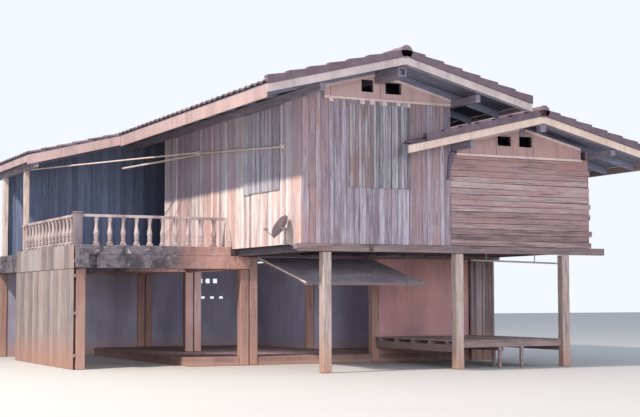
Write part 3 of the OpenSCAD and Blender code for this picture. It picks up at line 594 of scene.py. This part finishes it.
def join(name, parts, jitter=0.0015, edge=0.0025):
    """Joins copies into one piece, makes it slightly uneven and softens its edges."""
    pick(*parts)
    if len(parts) > 1:
        bpy.ops.object.join()
    piece = named(bpy.context.object, name)
    open_whole(piece)
    bpy.ops.mesh.normals_make_consistent(inside=False)
    if jitter:
        bpy.ops.transform.vertex_random(offset=jitter, seed=len(parts))
    mode("OBJECT")
    if edge:
        soften(piece, edge)
    return piece


def soften(piece, edge):
    """Bevels the sharp edges of a piece."""
    bevel = piece.modifiers.new("soft_edge", "BEVEL")
    bevel.width = edge
    bevel.segments = 1
    bevel.limit_method = "ANGLE"
    bevel.angle_limit = math.radians(50)
    apply_all(piece)


def cut(piece, *boxes):
    """Cuts square openings through a piece; each box is its lowest and highest corner."""
    for low, high in boxes:
        cutter = fresh(bpy.ops.mesh.primitive_cube_add, size=1, location=(low + high) / 2, scale=high - low)
        hole = piece.modifiers.new("opening", "BOOLEAN")
        hole.object = cutter
        hole.operation = "DIFFERENCE"
        hole.solver = "EXACT"
        apply_all(piece)
        pick(cutter)
        bpy.ops.object.delete()


WALL_DROP = 0.15


def trim_to_roof(piece, roof):
    """Cuts a wall off along both slopes of a roof, a little below the tiles."""
    for side in (-1, 1):
        open_whole(piece)
        bpy.ops.mesh.bisect(plane_co=(roof.ridge_x, 0, roof.ridge_z - WALL_DROP),
                            plane_no=(side * roof.slope, 0, 1), use_fill=True, clear_outer=True)
        mode("OBJECT")


SLOTS = {part["node"]: part["material_slot"] for part in frame["record"]["subparts"]}


def dress(piece, material, slot, *nodes):
    """Gives a piece its finish, and lets it ride and stand for solids."""
    piece.data.materials.clear()
    piece.data.materials.append(material)
    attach(piece, "root")
    if nodes:
        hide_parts(*nodes)
    return piece


def openings_of(*names):
    """The stated openings of the house whose names start so, as boxes."""
    found = []
    for item in frame["record"]["physics"]["openings"]:
        if item["name"].startswith(names):
            found.append((Vector(item["box_m"][0]), Vector(item["box_m"][1])))
    return found


print("vents in the front:", len(openings_of("front_gable_vent", "wing_gable_vent")))

# %% [markdown]
# A boarded wall is a row of boards that fills the wall's box. Sawn boards are never quite as wide as
# the next one, stand a few millimetres in front of each other, and shrink, which opens a dark gap. A
# wall under a gable is cut off along both slopes, `WALL_DROP` below the tiles.

# %% Boards side by side
def row_of_boards(low, high, axis, run, width, gap=0.005, uneven=0.006, brown_at=None, tone_at=None):
    """Boards with their grain along one axis, side by side along another, that fill a box."""
    thin = 3 - axis - run
    count = max(1, round((high[run] - low[run]) / width))
    marks = [low[run]]
    for i in range(1, count):
        marks.append(low[run] + (high[run] - low[run]) * (i + chance.uniform(-0.14, 0.14)) / count)
    marks.append(high[run])
    parts = []
    for i in range(count):
        a, b = low.copy(), high.copy()
        a[run] = marks[i] + gap * chance.uniform(0.3, 0.7)
        b[run] = marks[i + 1] - gap * chance.uniform(0.3, 0.7)
        a[thin] += chance.uniform(0, uneven)
        b[thin] -= chance.uniform(0, uneven)
        centre = (marks[i] + marks[i + 1]) / 2
        brown = brown_at(centre) if brown_at else chance.uniform(0.2, 0.9)
        tone = tone_at(centre) if tone_at else None
        parts.append(board(a, b, axis, tone, brown))
    return parts


def put_up(name, parts, kind, node, jitter=0.0015, edge=0.0025, roof=None, holes=()):
    """Joins upright boards into a wall or shutter for a node, cut to its roof and its openings."""
    piece = join(name, parts, jitter, edge)
    if roof:
        trim_to_roof(piece, roof)
    cut(piece, *holes)
    dress(piece, wood(kind, UP), SLOTS[node], node)
    print(name, faces(piece))


def gable_brown(x):
    """The gable's left boards are browner, and so are those in the corner by the wing."""
    at = x - corner.x
    if at < 0.5 or 2.4 < at < 3.2:
        return chance.uniform(0.6, 1.0)
    return chance.uniform(0.05, 0.5)


def gable_tone(x):
    """A steady tone for the board beside the shutter, and chance for the others."""
    at = x - corner.x
    if 0.82 < at < 0.95:
        return 0.55
    return chance.uniform(0.1, 0.8)


low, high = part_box("main_gable_wall")
parts = row_of_boards(low, high, UP, ALONG_X, 0.138, 0.007, 0.008, gable_brown, gable_tone)
put_up("gable_boards", parts, "gable", "main_gable_wall", roof=main_roof,
       holes=openings_of("front_gable_vent"))

# %% [markdown]
# The left wall faces the sun. Its boards are the palest, partly bleached and partly painted sunlight,
# some of them almost cream, and narrow battens cover a few of the joints. The other walls repeat the
# gable's boards. One looks past the balcony at the inner face of the hall's rear wall, so that wall has an
# inner lining of blue-grey boards, whose colour is painted shade for the dim hall.

# %% Left wall
def sunny_brown(y):
    """A few boards in three places have kept their red-brown colour."""
    at = y - corner.y
    if at < 0.3 or 3.35 < at < 3.65 or 4.4 < at < 5.0:
        return chance.uniform(0.9, 1.3)
    return chance.uniform(0.0, 0.7)


BATTEN_PLACES = (7.6, 6.85, 5.27, 4.585, 3.77, 2.87, 0.93)
HALF_BATTEN = 0.028
low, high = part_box("main_left_wall")
parts = row_of_boards(low, high, UP, ALONG_Y, 0.139, 0.006, 0.007, sunny_brown)
for at in BATTEN_PLACES:
    a = Vector((low.x - 0.014, corner.y + at - HALF_BATTEN, FLOOR + 0.01))
    b = Vector((low.x + 0.004, corner.y + at + HALF_BATTEN, high.z - 0.02))
    parts.append(board(a, b, UP, 1.0, 0.2))
put_up("left_wall_boards", parts, "sunny", "main_left_wall")

# %% Other boarded walls
DOORWAY = (place(1.15, 7.4, 2.3), place(2.05, 7.8, FLOOR + 1.925))
parts = row_of_boards(*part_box("main_right_wall"), UP, ALONG_Y, 0.145)
put_up("right_wall_boards", parts, "gable", "main_right_wall")
parts = row_of_boards(*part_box("room_rear_wall"), UP, ALONG_X, 0.15)
put_up("room_rear_boards", parts, "gable", "room_rear_wall", roof=main_roof, holes=[DOORWAY])
low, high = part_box("hall_rear_wall")
half = (low.y + high.y) / 2
# The inner half is a lining in the painted shade boards.
for name, y0, y1, kind in (("hall_rear_boards", half, high.y, "gable"),
                           ("hall_rear_lining", low.y, half, "shade")):
    parts = row_of_boards(Vector((low.x, y0, low.z)), Vector((high.x, y1, high.z)), UP, ALONG_X, 0.16)
    put_up(name, parts, kind, "hall_rear_wall", roof=main_roof, holes=openings_of("rear_gable_vent"))

# %% [markdown]
# The kitchen wing is planked the other way, with rough level planks. Their edges wave, so dark gaps
# open and close between them, and their ends step in and out at the right corner. Behind them is a
# lining of old boards, which makes the gaps dark.

# %% Wing planks
PLANKED_HEIGHT, PLANK_HEIGHT, PLANK_THICK, LINING_IN = 1.87, 0.117, 0.024, 0.042
LINING_WIDTH, TIGHT, WAVER, LEAN = 0.2, 0.001, 0.0055, 0.0035
TRIM_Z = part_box("wing_gable_wall")[0].z + PLANKED_HEIGHT


def planked(name, low, high, axis, face_out, reach=(-0.02, 0.0)):
    """Level planks on the outer face of a box; hands over the upright boards of the lining behind."""
    thin = 1 - axis
    count = round((high.z - low.z) / PLANK_HEIGHT)
    parts = []
    for i in range(count):
        a, b = low.copy(), high.copy()
        a.z = low.z + (high.z - low.z) * i / count + chance.uniform(0.001, 0.006)
        b.z = low.z + (high.z - low.z) * (i + 1) / count - chance.uniform(0.001, 0.006)
        b[axis] += chance.uniform(*reach)
        step = chance.uniform(0, 0.008)
        if face_out < 0:
            a[thin] += step
            b[thin] = a[thin] + PLANK_THICK
        else:
            b[thin] -= step
            a[thin] = b[thin] - PLANK_THICK
        up = i / count
        brown = 0.25 + 0.7 * up + chance.uniform(-0.15, 0.15)
        tone = chance.uniform(0.0, 0.55) if up < 0.35 else chance.uniform(0.35, 1.0) if up < 0.8 else 0.4
        centre = (a + b) / 2
        lean = Matrix.Rotation(chance.uniform(-LEAN, LEAN), 4, "YX"[axis])
        move = Matrix.Translation(centre) @ lean @ Matrix.Translation(-centre)
        parts.append(board(a, b, axis, tone, brown, move))
    planks = join(name, parts, WAVER, 0.003)
    dress(planks, wood("plank", axis), "plank_timber")
    print(name, faces(planks))
    a, b = low.copy(), high.copy()
    if face_out < 0:
        a[thin] += LINING_IN
    else:
        b[thin] -= LINING_IN
    return row_of_boards(a, b, UP, axis, LINING_WIDTH, TIGHT, TIGHT)


def planked_gable(side, node, face_out, vents, reach=(-0.02, 0.0), left_in=0.0, right_in=0.0):
    """A planked wall of the wing. Its lining alone goes on above the planks, up to the roof."""
    low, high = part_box(node)
    top = Vector((high.x, high.y, TRIM_Z))
    lining = planked(f"wing_{side}_planks", low, top, ALONG_X, face_out, reach)
    foot = Vector((low.x + left_in, low.y, TRIM_Z))
    top = Vector((high.x - right_in, high.y, high.z))
    lining += row_of_boards(foot, top, UP, ALONG_X, LINING_WIDTH, TIGHT, TIGHT)
    put_up(f"wing_{side}_lining", lining, "old", node, 0, 0.002, wing_roof, openings_of(vents))


planked_gable("front", "wing_gable_wall", -1, "wing_gable_vent", (-0.05, 0.05), 0.13, 0.23)

# %% Right side and back of the wing
lining = planked("wing_right_planks", *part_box("wing_right_wall"), ALONG_Y, 1)
put_up("wing_right_lining", lining, "old", "wing_right_wall", 0, 0.002)
planked_gable("rear", "wing_rear_wall", 1, "wing_rear_vent")

# %% [markdown]
# Both gables are closed at the top by thin painted sheets with dark joints between them, framed by
# pale laths along the slopes and at the foot. A lath along a slope is a level board that is turned.

# %% Gable panels
PANEL_THICK, LATH_OUT, FOOT_LATH, SLOPE_LATH = 0.020, 0.036, 0.046, 0.050


def lath(x0, z0, x1, z1, depth, y0, y1):
    """A board on edge between two points of a gable; its top edge runs from one to the other."""
    length = math.hypot(x1 - x0, z1 - z0)
    turn = Matrix.Rotation(-math.atan2(z1 - z0, x1 - x0), 4, "Y")
    return board(Vector((0, 0, -depth)), Vector((length, y1 - y0, 0)), ALONG_X, None, 0.5,
                 Matrix.Translation((x0, y0, z0)) @ turn)


def panels(name, roof, marks, foot, face, out, vents, material, blocks=()):
    """Sheets between the marks, laths around them and a few small blocks below, on a gable wall."""
    inner, outer = sorted((face, face + out * PANEL_THICK))
    sheets = []
    for x0, x1 in zip(marks, marks[1:]):
        a = Vector((corner.x + x0 + 0.005, inner, foot))
        b = Vector((corner.x + x1 - 0.005, outer, roof.ridge_z))
        sheets.append(board(a, b, UP))
    piece = join(name, sheets, 0, 0.002)
    trim_to_roof(piece, roof)
    cut(piece, *openings_of(vents))
    dress(piece, finishes[material], "gable_panel", "gable_panels")
    inner, outer = sorted((face + out * PANEL_THICK, face + out * LATH_OUT))
    x0, x1 = corner.x + marks[0], corner.x + marks[-1]
    drop = WALL_DROP + 0.002
    top = roof.ridge_z - drop
    laths = [
        lath(x0 - 0.01, foot, x1 + 0.01, foot, FOOT_LATH, inner, outer),
        lath(x0, roof.under(x0) - drop, roof.ridge_x, top, SLOPE_LATH, inner, outer),
        lath(roof.ridge_x, top, x1, roof.under(x1) - drop, SLOPE_LATH, inner, outer),
    ]
    for at in blocks:
        tip = foot - chance.uniform(0.10, 0.15)
        end = place(at + chance.uniform(0.07, 0.12), 0.004, foot - 0.04)
        laths.append(board(place(at, -0.014, tip), end, UP))
    dress(join(name.replace("sheets", "laths"), laths, 0.001, 0.003), finishes["panel_trim"], "gable_panel")


MAIN_PANEL_FOOT, WING_PANEL_FOOT = 5.30, 4.33
main_marks = (0.466, 0.6, 1.69, 2.87, WALL_END)
wing_marks = (3.44, 3.746, 4.396, 5.30, 5.917, 6.53)
wing_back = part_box("wing_rear_wall")[1].y
house_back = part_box("hall_rear_wall")[1].y
block_places = (0.57, 1.25, 1.46, 1.73, 2.06, 2.30)
panels("main_front_sheets", main_roof, main_marks, MAIN_PANEL_FOOT, corner.y, -1, "front_gable_vent",
       "gable_panel", block_places)
panels("wing_front_sheets", wing_roof, wing_marks, WING_PANEL_FOOT, corner.y, -1, "wing_gable_vent",
       "wing_panel")
panels("main_rear_sheets", main_roof, main_marks, MAIN_PANEL_FOOT, house_back, 1, "rear_gable_vent",
       "gable_panel")
panels("wing_rear_sheets", wing_roof, wing_marks, WING_PANEL_FOOT, wing_back, 1, "wing_rear_vent",
       "wing_panel")

# %% [markdown]
# Some solids are a set of plain timbers: posts, girders, joists, deck boards. Each of them is found as
# a loose part of its node and made again as a hewn board with its own tone, wavering edges and worn
# corners. The copy of the solid is merged first, because it comes as loose triangles.

# %% Find the timbers of a node
def merged_copy(node):
    """A copy of a solid as one closed skin with whole flat faces."""
    thing = in_scene("copy", frame["nodes"][node].data.copy())
    open_whole(thing)
    bpy.ops.mesh.remove_doubles(threshold=0.00005)
    bpy.ops.mesh.dissolve_limited(angle_limit=math.radians(0.5))
    bpy.ops.mesh.normals_make_consistent(inside=False)
    mode("OBJECT")
    return thing


def solids_of(node):
    """The separate solids of a node, each as the box it fills."""
    open_whole(merged_copy(node))
    bpy.ops.mesh.separate(type="LOOSE")
    mode("OBJECT")
    boxes = []
    for part in bpy.context.selected_objects:
        points = [v.co for v in part.data.vertices]
        low = Vector(min(p[a] for p in points) for a in range(3))
        high = Vector(max(p[a] for p in points) for a in range(3))
        boxes.append((low, high))
    bpy.ops.object.delete()
    return sorted(boxes, key=lambda box: tuple(box[0]))


def hewn(name, node, kind, rough, edge):
    """Timbers made again from the solids of a node, grouped by the way they run."""
    groups = {}
    for low, high in solids_of(node):
        size = high - low
        axis = max(range(3), key=lambda a: size[a])
        inset = Vector((rough, rough, rough))
        tone = 0.3 if kind == "beam" else None
        timber = board(low + inset, high - inset, axis, tone, chance.uniform(0.2, 0.8))
        groups.setdefault(axis, []).append(timber)
    for axis, timbers in groups.items():
        piece = join(f"{name}_{'xyz'[axis]}", timbers, rough, edge)
        # painted shade: girders that run front to back lie in shade under the floor, so they take the dark
        # old wood
        kind_or_painted_shade = "old" if kind == "beam" and axis == ALONG_Y else kind
        dress(piece, finish_of(kind_or_painted_shade, axis), SLOTS[node], node)
    return len(groups)


# For each: name, node, wood, how far its points move, and the width of its worn edges
TIMBERS = (
    ("front_post_timbers", "front_posts", "post", 0.004, 0.012),
    ("inner_post_timbers", "inner_posts", "red_post", 0.004, 0.012),
    ("balcony_column_casts", "balcony_columns", "concrete", 0.003, 0.012),
    ("girder_timbers", "floor_girders", "beam", 0.004, 0.008),
    ("joist_timbers", "floor_joists", "old", 0.003, 0.007),
    ("deck_planks", "platform_deck", "deck", 0.002, 0.003),
    ("lean_to_post_timbers", "lean_to_posts", "post", 0.003, 0.008),
)
print("timber pieces:", [hewn(*timber) for timber in TIMBERS])

# %% [markdown]
# Shutters are made of narrow upright strips on a frame. They are old: the strips end at slightly
# different heights, so the lower edge is ragged. The plank door and the screen that closes the left side
# under the balcony are boards on battens, and the floors inside get the same kind of board row.

# %% Shutters
RAGGED = 0.022


def strips(name, node, kind, width, brown_at=None):
    """Upright strips with a ragged lower edge for each shutter of a node."""
    parts = []
    for low, high in solids_of(node):
        thin = 0 if high.x - low.x < high.y - low.y else 1
        for timber in row_of_boards(low, high, UP, 1 - thin, width, 0.007, 0.006, brown_at):
            lift = chance.uniform(0.0, RAGGED)
            for point in timber.data.vertices:
                if point.co.z < low.z + 0.01:
                    point.co.z += lift
            parts.append(timber)
    put_up(name, parts, kind, node, 0.0012, 0.002)


def shutter_brown(x):
    """The left strips of the gable's shutter have kept more brown."""
    return 1.1 if x < corner.x + 1.55 else 0.2


strips("gable_shutter_strips", "gable_shutters", "shutter", 0.066, shutter_brown)
strips("side_shutter_strips", "side_shutters", "side_shutter", 0.075)

# %% Plank door, screen and floors
CLEAR, SHEET, BATTEN, SPLIT = 0.003, 0.012, 0.020, 2.02
low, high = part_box("lower_plank_panel")
low.z += CLEAR
plank_door = row_of_boards(Vector((low.x, low.y + BATTEN, low.z)), high, UP, ALONG_X, 0.15, 0.006, 0.001)
for x in (low.x + 0.02, (low.x + high.x) / 2, high.x - 0.08):
    plank_door.append(board(Vector((x, low.y, low.z)), Vector((x + 0.06, low.y + BATTEN, high.z)), UP))
put_up("plank_door", plank_door, "beam", "lower_plank_panel", 0.001, 0.002)
low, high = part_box("side_screen")
low.z += CLEAR
face = Vector((low.x + SHEET, high.y, SPLIT))
foot = Vector((low.x, low.y, SPLIT + 0.01))
screen = row_of_boards(foot, Vector((face.x, high.y, high.z)), UP, ALONG_Y, 0.36, 0.006, 0.0015)
screen += row_of_boards(low, face, UP, ALONG_Y, 0.13, 0.010, 0.0015)
for z, back in ((0.25, high.x), (1.10, high.x), (1.85, high.x), (2.15, low.x + SHEET + BATTEN)):
    screen.append(board(Vector((face.x, low.y, z)), Vector((back, high.y, z + 0.06)), ALONG_Y, 0.3, 0.5))
put_up("balcony_screen", screen, "screen", "side_screen", 0.001, 0.002)
parts = []
for low, high in solids_of("floor_boards"):
    parts += row_of_boards(low, high, ALONG_Y, ALONG_X, 0.16, 0.004, 0.002)
floor_planks = join("floor_planks", parts, 0.001, 0.002)
dress(floor_planks, wood("old", ALONG_Y), "dark_timber", "floor_boards")
print("floor planks", faces(floor_planks))

# %% [markdown]
# The roof is covered with cement tiles. Each is a flat pan with one round roll, and each course laps
# the one below it. One tile is modelled from a grid: its rows of points are lifted to the shape of the
# roll, and Solidify gives it thickness. Copies are laid course by course, each a hair out of true.

# %% One roof tile
TILE_WIDTH, TILE_THICK, ROLL = 0.278, 0.022, 0.036


def roll_height(across):
    """Height of the tile's surface at a place across it, from 0 to 1."""
    half = 0.30
    off = abs(across - 0.5)
    return ROLL * (0.5 + 0.5 * math.cos(math.pi * off / half)) if off < half else 0.0


STEPS = 10
tile = fresh(bpy.ops.mesh.primitive_grid_add, x_subdivisions=1, y_subdivisions=STEPS, size=1,
             location=(0.5, 0.5, 0))
tile.name = "tile_pattern"
for step in range(STEPS + 1):
    choose(tile, lambda spot: abs(spot.y - step / STEPS) < 0.2 / STEPS)
    bpy.ops.transform.translate(value=(0, 0, roll_height(step / STEPS)))
    mode("OBJECT")
thick = tile.modifiers.new("thickness", "SOLIDIFY")
thick.thickness = TILE_THICK
thick.offset = 1
apply_all(tile)
print("tile:", faces(tile))

# %% [markdown]
# A slope is laid from eave to ridge. `lay_tiles` counts how many tiles fit, turns each copy to the
# pitch of the roof and tips its lower end up by the thickness of the tile below. Under the tiles lies
# a thin underlay, which keeps the light out of the joints when the roof is seen from below.

# %% Lay tiles
LAP, RISE, BED, EAVE_INSET = 0.055, 0.025, 0.020, 0.024


def on_slope(roof, side, run, y, lift, pitch):
    """Lays a thing on the right slope of a roof, or mirrored on the left one."""
    mirror = Matrix.Translation((roof.ridge_x, 0, 0)) @ Matrix.Diagonal((side, 1, 1, 1))
    spot = Matrix.Translation((run, y, roof.ridge_z - run * roof.slope + lift))
    return mirror @ spot @ Matrix.Rotation(pitch, 4, "Y")


def underlay(roof, side, run0, run1, y0, y1):
    """A thin sheet on the rafters between two distances from the ridge."""
    length = (run1 - run0) / math.cos(roof.pitch)
    move = on_slope(roof, side, run0, 0, 0, roof.pitch)
    return board(Vector((0, y0, 0.004)), Vector((length - 0.004, y1, 0.016)), ALONG_X, 0.2, 0.2, move)


def lay_tiles(name, node, roof, side, run0, run1, courses, y0, y1):
    """Tiles on one slope between two distances from the ridge, and between two places front to back."""
    step = (run1 - run0) / courses
    rows = max(1, round((y1 - y0) / TILE_WIDTH))
    width = (y1 - y0) / rows
    parts = []
    for course in range(courses):
        start = run0 + course * step - (LAP if course else 0)
        end = run0 + (course + 1) * step - (EAVE_INSET if course == courses - 1 else 0)
        length = (end - start) / math.cos(roof.pitch)
        for row in range(rows):
            tip = math.atan2(RISE, length) + chance.uniform(-0.003, 0.003)
            stretch = Matrix.Diagonal((length, width * 1.02, 1, 1))
            move = on_slope(roof, side, start, y0 + row * width, BED, roof.pitch - tip)
            parts.append(copy_in(tile, move @ stretch))
    piece = join(name, parts, 0.0, 0.0)
    dress(piece, finishes["roof_tile"], "roof_tile", node)
    under_sheet = join(name + "_underlay", [underlay(roof, side, run0, run1, y0, y1)], 0.0, 0.002)
    dress(under_sheet, wood("underside", ALONG_X), "roof_tile", node)
    print(name, faces(piece))


edge, ridge_gap = 0.03, 0.06
for side, hand in ((-1, "left"), (1, "right")):
    lay_tiles(f"main_tiles_{hand}", f"main_roof_{hand}", main_roof, side, ridge_gap, main_roof.run, 7,
              main_roof.front + edge, main_roof.back - edge)

# %% Lean-to and wing
lean_low, lean_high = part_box("lean_to_roof")
lay_tiles("lean_to_tiles", "lean_to_roof", main_roof, -1, main_roof.run, main_roof.ridge_x - lean_low.x, 6,
          lean_low.y, lean_high.y - edge)
lay_tiles("wing_tiles_right", "wing_roof_right", wing_roof, 1, ridge_gap, wing_roof.run, 8,
          wing_roof.front + edge, wing_roof.back - edge)
wall_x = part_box("main_right_wall")[1].x
lay_tiles("wing_tiles_left", "wing_roof_left", wing_roof, -1, ridge_gap, wing_roof.ridge_x - wall_x, 4,
          corner.y - edge, wing_roof.back - edge)
last_course = wing_roof.run - wing_roof.run / 8
lay_tiles("porch_tiles", "wing_roof_left", wing_roof, -1, ridge_gap, last_course, 7,
          wing_roof.front + edge, corner.y - edge - 0.002)
lay_tiles("porch_eave_tiles", "wing_roof_left", wing_roof, -1, last_course - LAP, wing_roof.run, 1,
          wing_roof.front + edge, wing_roof.front + 0.27)

# %% [markdown]
# The awning is corrugated sheet. A grid is divided finely across, every fourth row of points is lifted
# to a crest and the one midway is lowered to a hollow, and the sheet is then stretched, tilted and
# thickened. Two sheets lap, and a pale strip closes each side.

# %% Awning
WAVES, WAVE_LIFT, SHEET_THICK = 36, 0.009, 0.0025


def corrugated(x0, x1, y0, z0, y1, z1):
    """A corrugated sheet between two level edges."""
    sheet = fresh(bpy.ops.mesh.primitive_grid_add, x_subdivisions=4 * WAVES, y_subdivisions=4, size=1,
                  location=(0.5, 0.5, 0))
    for phase, lift in ((1, WAVE_LIFT), (3, -WAVE_LIFT)):
        choose(sheet, lambda spot: round(spot.x * 4 * WAVES) % 4 == phase)
        bpy.ops.transform.translate(value=(0, 0, lift))
        mode("OBJECT")
    length = math.hypot(y1 - y0, z1 - z0)
    turn = Matrix.Rotation(math.atan2(z1 - z0, y1 - y0), 4, "X")
    sheet.data.transform(Matrix.Translation((x0, y0, z0)) @ turn @ Matrix.Diagonal((x1 - x0, length, 1, 1)))
    solid = sheet.modifiers.new("thickness", "SOLIDIFY")
    solid.thickness = SHEET_THICK
    apply_all(sheet)
    carry(sheet.data, 0.5, 0.5)
    return sheet


low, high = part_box("awning_sheet")
depth, fall = high.y - low.y, high.z - low.z - 0.012
rise = fall / depth
lap_y = corner.y + 1.85
lower_end, upper_start = lap_y + 0.02, lap_y - 0.06
lower = corrugated(low.x, high.x, low.y, low.z + 0.010,
                   lower_end, low.z + 0.010 + rise * (lower_end - low.y))
upper = corrugated(low.x + 0.01, high.x - 0.01, upper_start, low.z + 0.014 + rise * (upper_start - low.y),
                   high.y, high.z - 0.010)
awning = join("awning_sheets", [lower, upper], 0.0012, 0.0)
dress(awning, finishes["awning"], "awning", "awning_sheet")
tilt = Matrix.Rotation(math.atan2(fall, depth), 4, "X")
far = Vector((0.026, math.hypot(depth, fall) - 0.01, 0.026))
rims = []
for x in (low.x, high.x - 0.027):
    move = Matrix.Translation((x, low.y + 0.008, low.z + 0.006)) @ tilt
    rims.append(board(Vector((0.001, 0, -0.006)), far, ALONG_Y, 0.9, 0.2, move))
dress(join("awning_rims", rims, 0.001, 0.003), wood("bamboo", ALONG_Y), "awning")
print("awning:", faces(awning))

# %% [markdown]
# The other solids keep their shape. A merged copy of each gets softened edges and a finish. Turned and
# round pieces are shaded smooth instead, and only their sharp edges are kept.

# %% Solids with worn edges
def worn(name, node, kind, edge=0.006, axis=UP):
    """A copy of a node with softened edges."""
    piece = named(merged_copy(node), name)
    carry(piece.data, 0.5, 0.5)
    soften(piece, edge)
    dress(piece, finish_of(kind, axis), SLOTS[node], node)


def turned(name, node, kind, axis=UP):
    """A copy of a round node, shaded smooth."""
    piece = named(merged_copy(node), name)
    carry(piece.data, 0.5, 0.5)
    pick(piece)
    bpy.ops.object.shade_smooth_by_angle(angle=math.radians(35))
    dress(piece, finish_of(kind, axis), SLOTS[node], node)


worn("floor_block", "plinth", "earth_floor", 0.012)
worn("front_render", "lower_front_wall", "plaster")
worn("side_render", "lower_side_walls", "shade_render")
worn("rear_render", "lower_rear_walls", "shade_render", 0.004)
worn("balcony_cast_slab", "balcony_slab", "stained_concrete", 0.010)
worn("balcony_beams", "balcony_edge_beams", "stained_concrete", 0.010)
worn("balcony_rail", "balcony_handrail", "baluster")
worn("balcony_post", "balcony_posts", "dark_cement")
turned("turned_balusters", "balcony_balusters", "baluster")
worn("platform_timbers", "platform_frame", "deck", 0.005, ALONG_X)
worn("awning_battens", "awning_frame", "beam", 0.003, ALONG_Y)

# %% [markdown]
# A small iron plate with one bolt sits on the front girder. It is a thin block with a six-sided bolt
# head, joined and slightly rounded.

# %% Iron plate and bolt on the front girder
plate_x, girder_face = corner.x + 1.47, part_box("floor_girders")[0].y
plate = fresh(bpy.ops.mesh.primitive_cube_add, size=1, scale=(0.10, 0.008, 0.12),
              location=(plate_x, girder_face - 0.004, FLOOR - 0.09))
head = fresh(bpy.ops.mesh.primitive_cylinder_add, vertices=6, radius=0.024, depth=0.02,
             rotation=(math.pi / 2, 0, 0), location=(plate_x, girder_face - 0.018, FLOOR - 0.10))
plate = join("girder_plate", [plate, head], 0, 0.003)
carry(plate.data, 0.5, 0.5)
dress(plate, stained("iron", (0.07, 0.055, 0.06), (0.12, 0.065, 0.05), 0.6, 0.1), "dish_metal")
print("girder plate:", faces(plate))

# %% Roof edges and timbers
turned("ridge_cap_row", "ridge_caps", "ridge_tile")
worn("verge_tile_rows", "verge_tiles", "roof_tile", 0.004)
worn("main_barge_boards", "main_bargeboards", "barge_paint", 0.004)
worn("wing_barge_boards", "wing_bargeboards", "wing_barge_paint", 0.004)
worn("eave_boards", "eave_fascias", "eave_paint", 0.004)
worn("rafter_timbers", "roof_rafters", "underside", 0.003, ALONG_X)
worn("purlin_timbers", "roof_purlins", "roof_beam", 0.005, ALONG_Y)
worn("corner_bracket", "knee_bracket", "old", 0.005)
turned("drying_pole_set", "drying_poles", "bamboo", ALONG_Y)
turned("dish", "satellite_dish", "dish_metal")

# %% [markdown]
# The solids that the new pieces stand for keep a finish too, so that no plain surface is left whatever
# is shown.

# %% Give every solid its finish
for part in frame["record"]["subparts"]:
    solid = frame["nodes"][part["node"]]
    solid.data.materials.clear()
    slot = part["material_slot"]
    kind = {"post_timber": "post", "board_timber": "gable", "plank_timber": "plank", "dark_timber": "old",
            "deck_timber": "deck", "shutter_timber": "shutter"}.get(slot)
    solid.data.materials.append(finish_of(kind or slot))

# %% Pale floor finish
r = Recipe("studio_paper", 0.9)
paper = r.ramp(r.noise((0.3, 0.3, 0.3)), (0.0, (0.54, 0.51, 0.48)), (1.0, (0.58, 0.55, 0.52)))
floor.data.materials.append(r.finish(paper))
print("floor:", floor.data.materials[0].name)

# %% Clean up
for pattern in (board_pattern, tile):
    pick(pattern)
    bpy.ops.object.delete()
